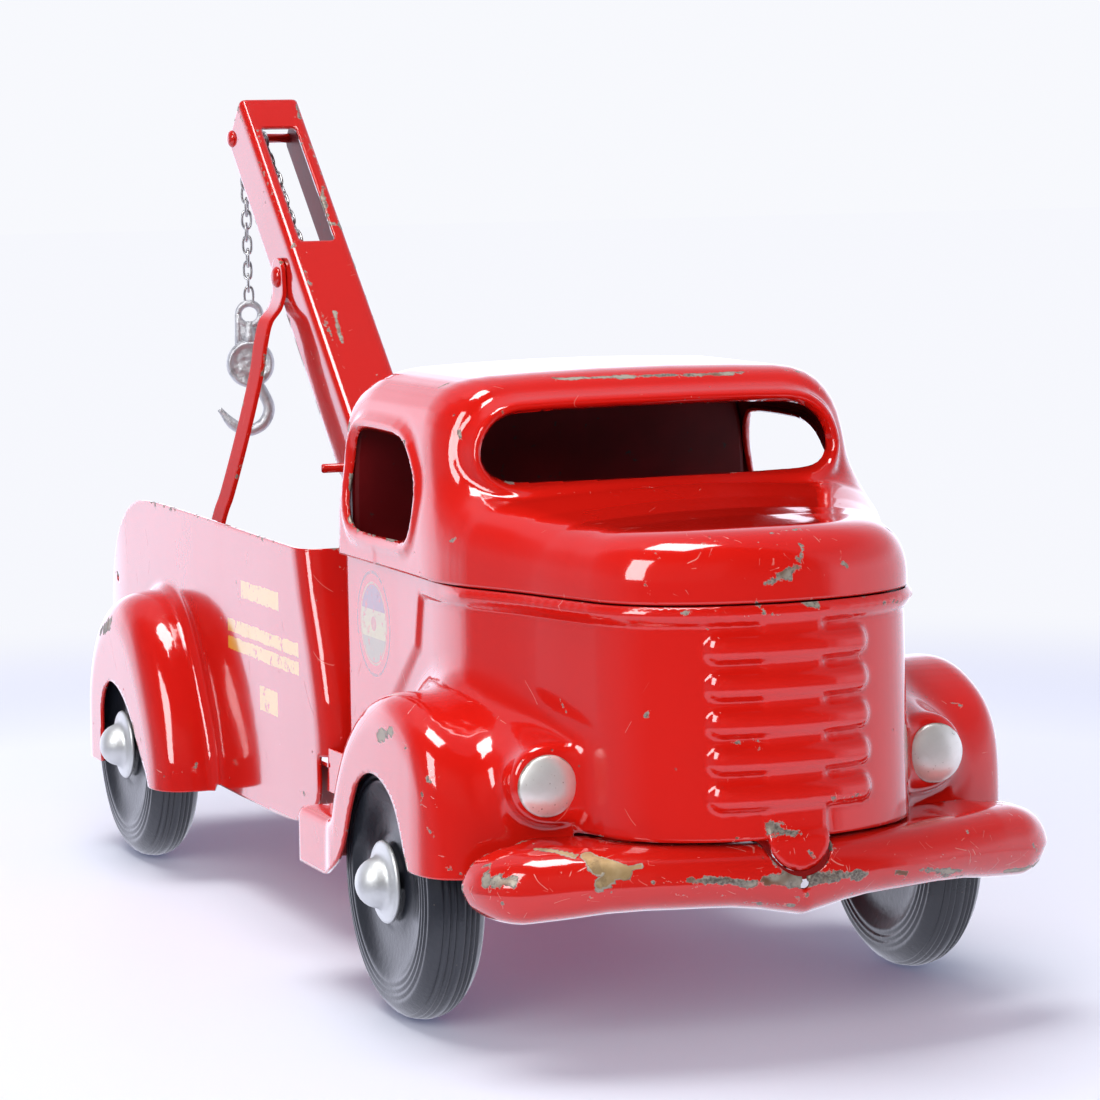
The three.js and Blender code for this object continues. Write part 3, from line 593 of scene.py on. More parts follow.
def upper_cut(x, y, z):
    wide = np.abs(x)
    keep = np.minimum(z - (BELT_Z + 0.2), 69.3 - y)
    keep = np.where(y < 24, np.minimum(keep, SCREEN(wide, z)), keep)
    return np.where(wide > 40, np.minimum(keep, SIDE_WINDOW(y, z)), keep)


# ------------------------------------------------------------------ front bumper
BUMPER_X = 2                             # the bumper sits a little to the left
BUMPER_BOW, BUMPER_HALF = 15.5, 70       # its ends sweep back by the bow at the half length
BUMPER_Y = -76
BUMPER_RIVET_X, BUMPER_RIVET_Y = 16, -61
# |x| from the bumper's middle, z
BUMPER_BOTTOM = ([0, 4, 10, 16, 22, 35, 43, 52, 60, 70],
                 [30.2, 31.0, 32.2, 32.9, 33.1, 33.3, 33.0, 32.0, 31.2, 31.0])
BUMPER_TOP = [0, 30, 44, 52, 58.8, 64, 70], [47.4, 47.3, 47.6, 47.9, 47.4, 46.8, 46.6]
# |x|, y of the rear edge
BUMPER_BACK = [0, 33, 36, 39.5, 53, 57, 75], [-57.5, -57.0, -54.0, -45.5, -45.5, -49, -46]


def bumper_field(x, y, z):
    wide = np.abs(x - BUMPER_X)
    slope = 2 * BUMPER_BOW * wide / BUMPER_HALF ** 2
    bottom, top = np.interp(wide, *BUMPER_BOTTOM), np.interp(wide, *BUMPER_TOP)
    face_y = BUMPER_Y + BUMPER_BOW * (wide / BUMPER_HALF) ** 2
    face = (face_y - y) / np.sqrt(1 + slope * slope)
    body = soft_max(face, np.abs(z - (bottom + top) / 2) - (top - bottom) / 2, 11.0)
    body = soft_max(body, wide - 71.7, 13.0)
    # the face is very slightly flattened below its middle
    return body + 0.25 * ridge(z, 37.5, 4.0)


def bumper_cut(x, y, z):
    wide = np.abs(x)
    keep = np.interp(wide, *BUMPER_BACK) - y
    # notch round the grille tongue, and a small hole in the face
    notch = np.hypot(x, z - TONGUE_Z) - 8.0
    keep = np.minimum(keep, np.where(y < -60, notch, 99.0))
    keep = np.minimum(keep, np.hypot(x, z - 38.3) - 1.2)
    holes = np.hypot(wide - BUMPER_RIVET_X, y - BUMPER_RIVET_Y) - 1.2
    return np.where(z > 40, np.minimum(keep, holes), keep)


# ------------------------------------------------------------------ bed sides
BED_X = 55.65
# bed side: y, z
BED_SIDE = OutlineField(cut_corners([
    (60, 46.9), (86.6, 46.9), (87.7, 46.0), (87.3, 37), (91.2, 32.2), (98.4, 29),
    (110.2, 26.5), (173, 26.2), (234, 26.6), (237.9, 36.8), (243.8, 40.8), (265.4, 42.1),
    (274.2, 45.7), (279.6, 54.5), (280.6, 64.4), (278.2, 73.2), (273.3, 82), (265.4, 89.9),
    (253.6, 96.3), (239.9, 98.6), (182.9, 98.3), (114.1, 97.4), (60, 97.3)]),
    (40, 310, 10, 110))
# rear fender: y, z
REAR_FENDER = OutlineField(cut_corners([
    (173.8, 5), (174.3, 29), (177.2, 38), (181.2, 46), (189.3, 58.4), (197.5, 67.4),
    (207, 73.2), (216, 75.0), (226, 74.2), (238, 69.4), (248, 60.5), (254, 49), (255.8, 38),
    (255.8, 5)]), (120, 310, 5, 110))
# rear wheel arch: y, z
REAR_ARCH = OutlineField(cut_corners([
    (234.8, 5), (234.8, 36.7), (234, 42.5), (230, 47), (223.7, 49.9), (213.4, 48.1),
    (203.7, 42.3), (194.7, 32.5), (186.4, 25.7), (184, 5)]), (120, 310, 0, 110))
# front edge of the bed: z, y
BED_FRONT = [44, 51.5, 60, 72, 85.5, 97.3], [81.4, 81.7, 83.6, 87.8, 93.9, 97.6]


def bed_field(x, y, z):
    wide = np.abs(x)
    roll = 0.0026 * np.maximum(y - 259, 0) ** 2
    body = soft_max(wide - BED_X + roll, (np.interp(z, *BED_FRONT) - y) * 0.96, 7.5)
    fender = soft_max(REAR_FENDER(y, z), wide - 71.5, 12.0)
    # raised flange where the fender meets the side
    flange = soft_max(REAR_FENDER(y, z) - 1.5, wide - 57.0, 1.6)
    return soft_min(body, soft_min(fender, flange, 1.6), 1.2)


def bed_cut(x, y, z):
    wide = np.abs(x)
    keep = np.where(wide > BED_X + 1.0, z - 24.6, -BED_SIDE(y, z))
    keep = np.where(wide > 62, np.minimum(keep, REAR_ARCH(y, z)), keep)
    keep = np.minimum(keep, np.hypot(y - 270.9, z - 73.0) - 1.25)     # small hole at the back
    return np.minimum(keep, wide - 0.3)


def bed_sides():
    """both sides come from one surface"""
    points, faces = surface_nets(bed_field, (-75, 77, 20), (75, 286, 102), CELL)
    points, faces = trim(points, faces, bed_cut, CELL, bed_field)
    sides = {}
    for name, sign in (("left", 1), ("right", -1)):
        own = [face for face in faces if points[face[0], 0] * sign > 0]
        sides[name] = mesh_object("visual_bed_side_" + name, *compact(points, own))
        solidify(sides[name], SHEET)
    return sides


lower = shell("visual_lower_body", lower_field, lower_cut, (-75, -78, 25), (75, 88, 101))
upper = shell("visual_cab_upper", upper_field, upper_cut, (-60, -76, 95), (60, 72, 150))
bumper = shell("visual_front_bumper", bumper_field, bumper_cut, (-75, -80, 26), (75, -42, 52),
               CELL * 0.9)
bed_parts = bed_sides()

# ------------------------------------------------------------------ cab back wall
# +x half of the wall: x, z
WALL_HALF = [(52.3, 46.5), (52.3, 112), (52.0, 122), (51.0, 130), (48.6, 135.8), (44.4, 139.8),
             (38.5, 141.9), (30, 142.5)]
# turned-over edge: scale about the wall's middle, y
WALL_LOOPS = ((1.0, 68.6), (1.0, 66.2), (0.992, 65.3), (0.975, 65.0))
WALL_MIDDLE = 95.0


def wall_sheet():
    left = [(-x, z) for x, z in WALL_HALF[::-1]]
    outline = cut_corners(left[-1:] + WALL_HALF + left[:-1], 1)
    count = len(outline)
    loops = [np.c_[outline[:, 0] * scale, np.full(count, y),
                   WALL_MIDDLE + (outline[:, 1] - WALL_MIDDLE) * scale]
             for scale, y in WALL_LOOPS]
    faces = ring_faces(4, count) + [tuple(3 * count + i for i in range(count))]
    return np.vstack(loops), faces


def tail_plate(name, sign):
    """small plate on the side of the body, behind the front fender"""
    profile = [(60.0, 38.1), (85.2, 38.1), (83.6, 49.2), (60.0, 49.2)]     # y, z
    points = [(sign * x, y, z) for x in (53.3, 54.1) for y, z in profile]
    faces = [(0, 1, 2, 3), (7, 6, 5, 4), (0, 4, 5, 1), (1, 5, 6, 2), (2, 6, 7, 3), (3, 7, 4, 0)]
    if sign > 0:
        faces = [face[::-1] for face in faces]
    return mesh_object("visual_tail_plate_" + name, points, faces, smooth=False)


back_wall = mesh_object("visual_cab_back_wall", *wall_sheet(), smooth=False)
solidify(back_wall, 0.8)
tail_plates = [tail_plate("left", 1), tail_plate("right", -1)]

# ------------------------------------------------------------------ boom
# Local axes of the boom: x, along it (0 at the top end, negative down), off its upper face.
BOOM_ANGLE = math.radians(43.73)
BOOM_TOP = (287.6, 211.9)        # y, z
COS, SIN = math.cos(BOOM_ANGLE), math.sin(BOOM_ANGLE)
BOOM_SHEET = 1.2


def boom_place(along, off):
    return (BOOM_TOP[0] + along * COS - off * SIN, BOOM_TOP[1] + along * SIN + off * COS)


def boom_point(x, along, off):
    return np.array([x, *boom_place(along, off)])


def rect_distance(u, v, u0, u1, v0, v1, radius):
    from_u = np.abs(u - (u0 + u1) / 2) - (u1 - u0) / 2 + radius
    from_v = np.abs(v - (v0 + v1) / 2) - (v1 - v0) / 2 + radius
    return (np.hypot(np.maximum(from_u, 0), np.maximum(from_v, 0))
            + np.minimum(np.maximum(from_u, from_v), 0) - radius)


def boom_field(x, along, off):
    return soft_max(np.abs(x) - 9.5, off, 2.6)


def boom_cut(x, along, off):
    y, z = boom_place(along, off)
    keep = -rect_distance(along, off, -260, 0, -16.5, 16.5, 3.2)
    keep = np.minimum(keep, -rect_distance(along, x, -260, 0, -9.6, 9.6, 1.4))
    slot = rect_distance(along, x, -59.8, -11.7, -5.5, 5.5, 1.3)
    keep = np.minimum(keep, np.where(off > -3, slot, 99))
    return np.minimum(np.minimum(keep, z - 46.3), y - 114.3)


def boom_shell():
    cell = CELL * 0.8

    def closed_field(x, along, off):
        return soft_max(boom_field(x, along, off), -off - 19.0, 0.01)

    points, faces = surface_nets(closed_field, (-11, -240, -22), (11, 4, 3), cell)
    points, faces = trim(points, faces, boom_cut, cell, boom_field)
    return np.stack([points[:, 0], *boom_place(points[:, 1], points[:, 2])], 1), faces


boom = mesh_object("visual_boom", *boom_shell())
solidify(boom, BOOM_SHEET)
boom_foot = solid_object("visual_boom_foot",
                         *plate(round_rect(-9.4, 9.4, 114.4, 138, 2.2), 45.8, 47.0))

SHAFT = boom_point(0, -136.9, -12.1)         # winch shaft
TIP = boom_point(0, -2.5, -13.5)             # pin at the boom's top end
BRACE_TOP = boom_point(0, -62.9, -11.4)      # rivet that holds the braces

# ------------------------------------------------------------------ braces
# centre line of the left brace from its top down: x, y, z
BRACE_LINE = [
    (10.4, BRACE_TOP[1] + 0.25, BRACE_TOP[2] + 5.6), (10.4, BRACE_TOP[1], BRACE_TOP[2]),
    (10.45, 249.7, 155.4), (12.0, 249.3, 151.2), (15.0, 248.9, 147.2), (16.9, 248.3, 140.8),
    (18.8, 247.6, 131.6), (23.6, 246.3, 115.2), (29.0, 244.9, 98.9), (32.2, 244.1, 90.8),
    (39.0, 242.1, 68.0), (44.9, 240.4, 49.6), (45.5, 240.2, 47.2), (44.2, 240.1, 46.5),
    (40.5, 240.0, 46.35), (36.8, 240.0, 46.35)]
BRACE_HALF = 5.0        # half width of the strap
FOOT_ROUND = 3          # corner radius at its foot


def brace(name, sign):
    """bent strap, rounded at the top, with soft corners at the foot"""
    path = smooth_path(BRACE_LINE, 260)
    columns = 9
    along = directions(path)
    from_top = np.r_[0, np.cumsum(np.linalg.norm(np.diff(path, axis=0), axis=1))]
    from_foot = from_top[-1] - from_top
    points = []
    for i in range(len(path)):
        across = square_to(np.array([0, 1.0, 0.0]), along[i])
        half = BRACE_HALF
        if from_top[i] < BRACE_HALF:
            half = math.sqrt(max(BRACE_HALF ** 2 - (BRACE_HALF - from_top[i]) ** 2, 0.3))
        if from_foot[i] < FOOT_ROUND:
            corner = math.sqrt(max(FOOT_ROUND ** 2 - (FOOT_ROUND - from_foot[i]) ** 2, 0.0))
            half = min(half, BRACE_HALF - FOOT_ROUND + corner)
        for k in range(columns):
            points.append(path[i] + across * half * (2 * k / (columns - 1) - 1))
    faces = []
    for i in range(len(path) - 1):
        for k in range(columns - 1):
            first = i * columns + k
            faces.append((first, first + 1, first + columns + 1, first + columns))
    points = np.array(points)
    points[:, 0] *= sign
    if sign < 0:
        faces = [face[::-1] for face in faces]
    piece = mesh_object("visual_brace_" + name, points, faces)
    solidify(piece, BOOM_SHEET, offset=0.0)
    bevel(piece, 0.28, angle=50)
    return piece


braces = {"left": brace("left", 1), "right": brace("right", -1)}

# ------------------------------------------------------------------ rivets
# domed head: fraction of the radius, fraction of the height
DOME = [(0, 1), (0.3, 0.975), (0.55, 0.87), (0.76, 0.67), (0.91, 0.38), (0.985, 0.12)]
rivets = {}


def rivet(node, at, axis, heads, shank):
    """shank with heads of (station, direction, radius, height) along the axis"""
    stations = [head[0] for head in heads]
    low, high = min(stations) - 0.2, max(stations) + 0.2
    parts = [revolve([(0, low), (shank, low), (shank, high), (0, high)], 20)]
    for station, direction, radius, height in heads:
        dome = [(radius * u, height * v) for u, v in DOME]
        dome += [(radius, 0), (radius, -0.3), (0, -0.3)]
        parts.append(revolve([(u, station + direction * v) for u, v in dome], 28))
    points, faces = join_parts(parts)
    if axis == "z":
        points = points[:, [1, 2, 0]]
    rivets[node] = solid_object("visual_" + node, points + np.array(at), faces)


for name, sign in BOTH_SIDES:
    rivet("brace_top_rivet_" + name, (0, BRACE_TOP[1], BRACE_TOP[2]), "x",
          [(sign * 11.1, sign, 3.1, 1.5), (sign * 8.2, -sign, 2.5, 0.9)], shank=1.45)
    rivet("brace_foot_rivet_" + name, (sign * 41.2, 240, 0), "z",
          [(47.1, 1, 2.3, 1.0), (44.35, -1, 2.0, 0.2)], shank=1.35)
    rivet("bumper_rivet_" + name, (sign * BUMPER_RIVET_X, BUMPER_RIVET_Y, 0), "z",
          [(49.2, 1, 2.6, 1.1), (46.4, -1, 2.6, 1.1)], shank=1.15)
for name, y in (("front", 150), ("rear", 262)):
    rivet("floor_rivet_" + name, (0, y, 0), "z",
          [(45.5, 1, 2.8, 1.2), (42.9, -1, 2.8, 1.2)], shank=1.35)
rivet("boom_foot_rivet", (0, 131, 0), "z",
      [(47.1, 1, 2.8, 1.3), (44.3, -1, 2.0, 0.15)], shank=1.35)
rivet("boom_tip_pin", (0, TIP[1], TIP[2]), "x",
      [(9.6, 1, 2.6, 1.3), (-9.6, -1, 2.6, 1.3)], shank=1.45)

# ------------------------------------------------------------------ chain
WIRE = 0.42                        # wire radius
HANG_X, HANG_Y = -4.5, 298.2       # line of the hanging chain and hook


def link(centre, along, flat, length, width, count=22):
    """one oval wire link"""
    along = np.array(along, float) / np.linalg.norm(along)
    flat = square_to(np.array(flat, float), along)
    path = []
    for i in range(count):
        angle = 2 * math.pi * i / count
        cos, sin = math.cos(angle), math.sin(angle)
        u = math.copysign(abs(cos) ** 0.8, cos) * length / 2
        v = math.copysign(abs(sin) ** 0.8, sin) * width / 2
        path.append(np.array(centre) + along * u + flat * v)
    return tube(path, WIRE, 8, closed=True)


def chain_run(name, line, pitch, phase):
    """row of links along a polyline; neighbours are turned across each other"""
    line = np.array(line, float)
    spans = np.linalg.norm(np.diff(line, axis=0), axis=1)
    reach = np.r_[0, np.cumsum(spans)]
    count = max(1, int(round(reach[-1] / pitch)))
    pitch = reach[-1] / count
    parts = []
    for i in range(count):
        station = (i + 0.5) * pitch
        k = min(np.searchsorted(reach, station) - 1, len(spans) - 1)
        part = (station - reach[k]) / spans[k]
        centre = line[k] * (1 - part) + line[k + 1] * part
        along = (line[k + 1] - line[k]) / spans[k]
        turn = math.radians(phase + 75.0 * (i % 2) + 14 * math.sin(i * 2.3))
        side = np.array([1.0, 0, 0]) if abs(along[0]) < 0.8 else np.array([0, 1.0, 0])
        side = square_to(side, along)
        other = np.cross(along, side)
        flat = side * math.cos(turn) + other * math.sin(turn)
        sway = other * 0.25 * math.sin(i * 1.7)
        parts.append(link(centre + sway, along, flat, pitch + 2 * WIRE + 0.75, 2.7))
    return solid_object(name, *join_parts(parts))


def boom_run_line():
    """line under the boom from the winch to the tip, sagging in its upper half"""
    line = []
    for t in np.linspace(0, 1, 30):
        sag = 1.5 * math.sin(math.pi * min(1, max(0, (t - 0.45) / 0.55)))
        line.append(boom_point(0.6 - 1.4 * t, -126 + 123 * t, -9.3 - 1.3 * t - sag))
    return line + [boom_point(-0.9, -0.4, -11.4)]


def wound_links(count=17):
    """links wound round the winch shaft"""
    parts = []
    for i in range(count):
        angle = i * math.radians(64)
        cos, sin = math.cos(angle), math.sin(angle)
        radius = 2.45 + 0.25 * math.sin(i * 1.9)
        centre = np.array([-4.2 + 8.4 * i / (count - 1), SHAFT[1] + radius * cos,
                           SHAFT[2] + radius * sin])
        flat = (np.array([1.0, 0, 0]) * math.cos(i * 1.4)
                + np.array([0, cos, sin]) * math.sin(i * 1.4) * 0.45)
        parts.append(link(centre, (0.16, -sin, cos), flat, 3.6, 2.2))
    return join_parts(parts)


chain_upper = chain_run("visual_chain_upper", [
    (-1.0, TIP[1] + 1.5, TIP[2] + 2.1), (-3.4, TIP[1] + 2.9, TIP[2] + 0.6),
    (HANG_X, HANG_Y, 198.2), (HANG_X, HANG_Y, 192), (HANG_X, HANG_Y, 185.9)],
    pitch=3.9, phase=20)
chain_lower = chain_run("visual_chain_lower", [
    (HANG_X, HANG_Y, 185.6), (HANG_X - 0.1, HANG_Y, 170), (HANG_X, HANG_Y, 151.2)],
    pitch=3.9, phase=35)
chain_boom = chain_run("visual_chain_boom_run", boom_run_line(), pitch=4.1, phase=40)
chain_wound = solid_object("visual_chain_wound", *wound_links())
chains = (chain_upper, chain_lower, chain_boom, chain_wound)

# ------------------------------------------------------------------ winch
CRANK_R, CRANK_END_R = 1.28, 0.85
CRANK_BEND = 2.4                             # radius of both bends
CRANK_ARM = 20                               # length of the arm
ARM_WAY = np.array([0, 0.35, -0.937])        # the arm points down and a little back


def winch_crank():
    """rod bent twice: shaft across the boom, arm, then handle"""
    outward = np.array([1.0, 0, 0])
    bends = [t * math.pi / 2 for t in np.linspace(0.15, 0.85, 5)]
    elbow = np.array([16.0, SHAFT[1], SHAFT[2]])
    path = [(x, SHAFT[1], SHAFT[2]) for x in (-16.0, -8, 0, 8, elbow[0] - CRANK_BEND)]
    path += [elbow - outward * CRANK_BEND + outward * CRANK_BEND * math.sin(angle)
             + ARM_WAY * CRANK_BEND * (1 - math.cos(angle)) for angle in bends]
    path += [elbow + ARM_WAY * reach for reach in (5, 9, 13, 17.4)]
    knee = elbow + ARM_WAY * CRANK_ARM
    path += [knee - ARM_WAY * CRANK_BEND * (1 - math.sin(angle))
             + outward * CRANK_BEND * (1 - math.cos(angle)) for angle in bends]
    path += [(x, knee[1], knee[2]) for x in (19.5, 24, 28.4)]
    path = np.array(path)
    tip = (0.35, 0, 0)
    radii = np.r_[CRANK_END_R, np.full(len(path), CRANK_R), CRANK_END_R]
    return tube(np.vstack([[path[0] - tip], path, [path[-1] + tip]]), radii, 18)


winch = solid_object("visual_winch_crank", *winch_crank())

# ------------------------------------------------------------------ hook
HOOK_TURN = math.radians(17.4)       # turned about z
EYE_R, EYE_Z = 3.35, 147.4
BUTTON_R, BUTTON_Z = 7.25, 132.5


def hook_button(rings=22, count=84):
    """round button: two faces with a raised rim and a cast grain, joined at the edge"""
    grain = np.random.default_rng(11)
    knots = grain.uniform(-5.2, 5.2, (60, 2))
    heights = grain.uniform(-0.28, 0.34, 60)
    widths = grain.uniform(0.5, 1.2, 60)
    points = []
    for sign in (-1, 1):
        for i in range(rings + 1):
            radius = BUTTON_R * i / rings
            rim = math.exp(-((radius - 6.2) / 0.75) ** 2) * 0.55
            depth = 2.0 + rim - (0.0 if radius < 6.4 else (radius - 6.4) ** 2 * 1.3)
            fade = 1.0 if radius < 5.4 else max(0, 1 - (radius - 5.4) / 0.5)
            for k in range(count):
                angle = 2 * math.pi * k / count
                x, z = radius * math.cos(angle), radius * math.sin(angle)
                distance2 = (x - knots[:, 0]) ** 2 + (z - knots[:, 1]) ** 2
                bump = float((heights * np.exp(-distance2 / widths ** 2)).sum())
                points.append((x, sign * (depth + bump * fade), BUTTON_Z + z))
    sheet = ring_faces(rings + 1, count)
    back = (rings + 1) * count
    faces = sheet + [tuple(i + back for i in face) for face in sheet]
    near, far = rings * count, (2 * rings + 1) * count
    for k in range(count):
        m = (k + 1) % count
        faces.append((near + k, near + m, far + m, far + k))
    return np.array(points), faces


def hook_curve():
    """curved hook below the button, thinning towards its tip"""
    path = smooth_path([(0.3, 0, 130.5), (1.2, 0, 127.5), (3.6, 0, 123.6), (5.3, 0, 118.6),
                        (3.2, 0, 114), (-1.5, 0, 112.1), (-6, 0, 114.4), (-9.7, 0, 118.8)], 70)
    count = len(path)
    radii = (1.55 + 0.25 * np.sin(np.linspace(0, math.pi, count))
             - 0.75 * smooth_step(np.linspace(0, 1, count), 0.84, 1.0))
    return tube(path, radii, 14)


def hook_mesh():
    """eye, neck, button and hook, drawn in the xz plane and then turned"""
    angles = np.linspace(0, 2 * math.pi, 40, endpoint=False)
    eye = [(EYE_R * math.cos(t), 0, EYE_Z + EYE_R * math.sin(t)) for t in angles]
    parts = [tube(eye, 0.98 + 0.12 * np.abs(np.sin(angles)), 12, closed=True),
             tube([(0, 0, z) for z in (145.3, 143, 141, 138.2)], [1.2, 1.75, 2.0, 2.6], 14)]
    for sign in (-1, 1):
        leg = [(EYE_R, 147.6), (3.38, 144.6), (3.38, 141.4), (3.3, 138.0)]      # x, z
        parts.append(tube([(x * sign, 0, z) for x, z in leg], [1.02, 1.06, 1.15, 1.3], 12))
    web = [(x, y, z) for z in (138.2, 144.4)
           for x, y in ((-3.3, -0.85), (3.3, -0.85), (3.3, 0.85), (-3.3, 0.85))]
    parts.append((web, [(3, 2, 1, 0), (4, 5, 6, 7), (0, 1, 5, 4), (1, 2, 6, 5), (2, 3, 7, 6),
                        (3, 0, 4, 7)]))
    parts += [hook_button(), hook_curve()]
    points, faces = join_parts(parts)
    cos, sin = math.cos(-HOOK_TURN), math.sin(-HOOK_TURN)
    x, y, z = points.T
    return np.stack([x * cos - y * sin + HANG_X, x * sin + y * cos + HANG_Y, z], 1), faces


hook = solid_object("visual_tow_hook", *hook_mesh())

# ------------------------------------------------------------------ wheels, lamps, axles
# Profiles are (radius, station along the axis).
# tyre, outer half
TYRE = [
    (2.1, 5.0), (6.5, 5.0), (8.4, 5.2), (10.2, 5.2), (11.2, 4.75), (13.5, 4.55), (16.5, 4.6),
    (18.6, 4.95), (20.2, 5.6), (21.4, 6.25), (22.2, 6.75), (22.7, 7.0), (23.2, 6.98),
    (23.55, 6.7), (23.9, 6.72), (24.2, 7.02), (24.7, 7.04), (25.05, 6.72), (25.4, 6.7),
    (25.75, 6.98), (26.2, 6.95), (26.55, 6.6), (26.9, 6.55), (27.3, 6.78), (27.9, 6.6),
    (28.6, 6.15), (29.3, 5.55), (29.9, 4.9), (30.35, 4.5), (30.5, 4.25), (30.25, 4.0),
    (30.25, 3.75), (30.8, 3.5), (31.15, 3.2), (31.25, 2.85), (30.85, 2.65), (30.8, 2.4),
    (31.3, 2.2), (31.5, 1.9), (31.55, 1.5), (31.15, 1.3), (31.1, 1.05), (31.55, 0.85),
    (31.7, 0.5), (31.75, 0.0)]
HUBCAP = [
    (0, 76.0), (0.9, 75.95), (1.9, 75.75), (2.8, 75.4), (3.7, 74.85), (4.5, 74.1), (5.1, 73.3),
    (5.55, 72.3), (5.85, 71.4), (6.15, 70.75), (6.6, 70.35), (7.3, 70.1), (8.3, 69.95),
    (9.0, 69.8), (9.4, 69.5), (9.53, 69.1), (9.4, 68.8), (9.0, 68.7), (6.3, 68.9), (2.2, 69.0)]
HEADLIGHT = [
    (0, -1.62), (1.5, -1.58), (3.0, -1.42), (4.3, -1.12), (5.3, -0.72), (6.0, -0.3),
    (6.5, 0.05), (6.78, 0.4), (6.86, 0.8), (6.8, 1.15), (6.5, 1.35), (5.9, 1.4), (2.4, 1.45),
    (1.5, 2.2), (1.5, 6.0), (0, 6.0)]
# axle, right half, with a waist under each pair of lugs
AXLE = [(0, -72), (1.6, -72), (2.0, -71.6), (2.0, -56.4), (1.7, -55.4), (1.7, -54.2),
        (2.0, -53.2)]
LUG_X = 54.8

ENDS = (("front", 0.0), ("rear", REAR_Y))
tyres, caps, lamps, axles = {}, {}, {}, {}


def axle(end, y):
    """rod with a small flat lug near each end"""
    parts = [revolve(AXLE + [(r, -s) for r, s in AXLE[::-1]], 28, (0, y, AXLE_Z))]
    for sign in (-1, 1):
        points, faces = plate(round_rect(-0.6, 0.6, -2.9, 2.9, 0.55, 4), -0.8, 0.8, soft=0.2)
        points = points[:, [0, 2, 1]] + np.array([sign * LUG_X, y, AXLE_Z])
        parts.append((points, faces))
    return solid_object("visual_axle_" + end, *join_parts(parts))


for end, y in ENDS:
    for name, sign in BOTH_SIDES:
        key = end + "_" + name
        profile = TYRE + [(r, -s) for r, s in TYRE[::-1][1:]]
        tyres[key] = solid_object("visual_tyre_" + key, *revolve(
            profile, 128, (sign * TYRE_X, y, AXLE_Z), sign))
        caps[key] = solid_object("visual_hubcap_" + key, *revolve(
            HUBCAP, 64, (0, y, AXLE_Z), sign))
for name, sign in BOTH_SIDES:
    points, faces = revolve(HEADLIGHT, 64)
    points = points[:, [1, 0, 2]] + np.array([sign * LAMP[0], LAMP[1], LAMP[2]])
    lamps[name] = solid_object("visual_headlight_" + name, points, faces)
for end, y in ENDS:
    axles[end] = axle(end, y)


# ------------------------------------------------------------------ moving bodies
def attach(piece, body, node):
    """the piece rides on a body and stands for a CAD node"""
    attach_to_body(piece, body)
    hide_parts(node)


attach(lower, "truck_body", "lower_body")
attach(upper, "truck_body", "cab_upper")
attach(bumper, "truck_body", "front_bumper")
attach(back_wall, "truck_body", "cab_back_panel")
for piece in tail_plates:
    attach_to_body(piece, "truck_body")
for name, piece in bed_parts.items():
    attach(piece, "truck_body", "bed_side_" + name)
attach(boom, "truck_body", "boom")
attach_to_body(boom_foot, "truck_body")
for name, piece in braces.items():
    attach(piece, "truck_body", "brace_" + name)
for node, piece in rivets.items():
    attach(piece, "truck_body", node)
attach(chain_upper, "hanging_chain_top", "chain_upper")
attach(chain_lower, "hanging_chain", "chain_lower")
attach(chain_boom, "boom_chain", "chain_boom_run")
attach(chain_wound, "winch", "chain_wound")
attach(winch, "winch", "winch_shaft")
attach(hook, "hook", "tow_hook")
for key in tyres:
    attach(tyres[key], "wheel_" + key, "tyre_" + key)
    attach(caps[key], key.split("_")[0] + "_axle", "hubcap_" + key)
for name, piece in lamps.items():
    attach(piece, "truck_body", "headlight_" + name)
for end, piece in axles.items():
    attach(piece, end + "_axle", end + "_axle")


# ------------------------------------------------------------------ wear of the enamel
def marks(text):
    """rows of eight numbers: start x y z, end x y z, radius (mm), amount"""
    return np.array(text.split(), float).reshape(-1, 8).tolist()


BUMPER_WEAR = marks("""
-54.3 -55.7 47.5 -48.4 -62.7 46.7 0.86 1.7   -45.5 -63.5 46.6 -44.6 -66.7 44.5 1.92 1.8
-44.1 -65.7 45.5 -39.5 -68.7 43.5 2.13 1.8   -42.1 -68.4 42.8 -44.8 -68.3 41.3 1.49 1.6
-37.6 -68.7 44.2 -35.8 -68.8 44.5 0.85 1.4   -65.4 -55.6 41.8 -61.8 -60.6 41.9 1.92 0.95
-64.9 -57.6 37.8 -63.3 -59.4 37.1 1.28 0.55  -66.1 -55.1 40.5 -65.4 -56.9 39.9 1.07 0.8
-55.1 -62.8 44.7 -50.6 -65.6 43.5 0.85 0.6   -53 -65.8 39.3 -44.6 -67.6 37.7 1.7 0.35
-34 -71 41.3 -22.5 -73.3 41.1 0.75 0.7       -22.5 -73.3 41.1 -12.3 -74.6 39.7 1.07 0.85
-8.7 -75 39.9 15.3 -74.7 39.4 1.29 1         -3.7 -75.3 38.9 7.8 -75.4 39.1 1.08 1.15
23.3 -73.3 38.7 25.5 -72.9 38.4 0.88 0.85    29.5 -72.2 38.4 41.2 -68.4 36.5 1.1 0.85
55.4 -63.4 34.3 66.4 -58.4 34.5 1.13 0.95    43.3 -67.2 45.3 43.6 -67.6 44.8 0.67 0.8
-12.5 -71.5 34.8 -2 -72.7 33.4 1.08 0.75     -5.4 -68.3 32 -1.6 -67.9 31.2 0.65 0.8
-35.7 -68.2 36 -22.4 -69.9 35 1.71 0.3       -23.4 -72.1 37.7 -14.6 -73.4 37.6 1.07 0.5
-62.7 -55.9 44.8 62 -62.6 35.6 12.83 0.12    32.7 -70.4 36.7 54 -61.4 32.9 1.33 0.45
9.1 -73.7 35.4 26.3 -67.5 33.8 1.09 0.4      61.2 -64.1 40.9 63.2 -63.2 38.3 0.9 0.7
-62.3 -59.2 35.2 -52.7 -64.9 36.7 1.49 0.35
""")
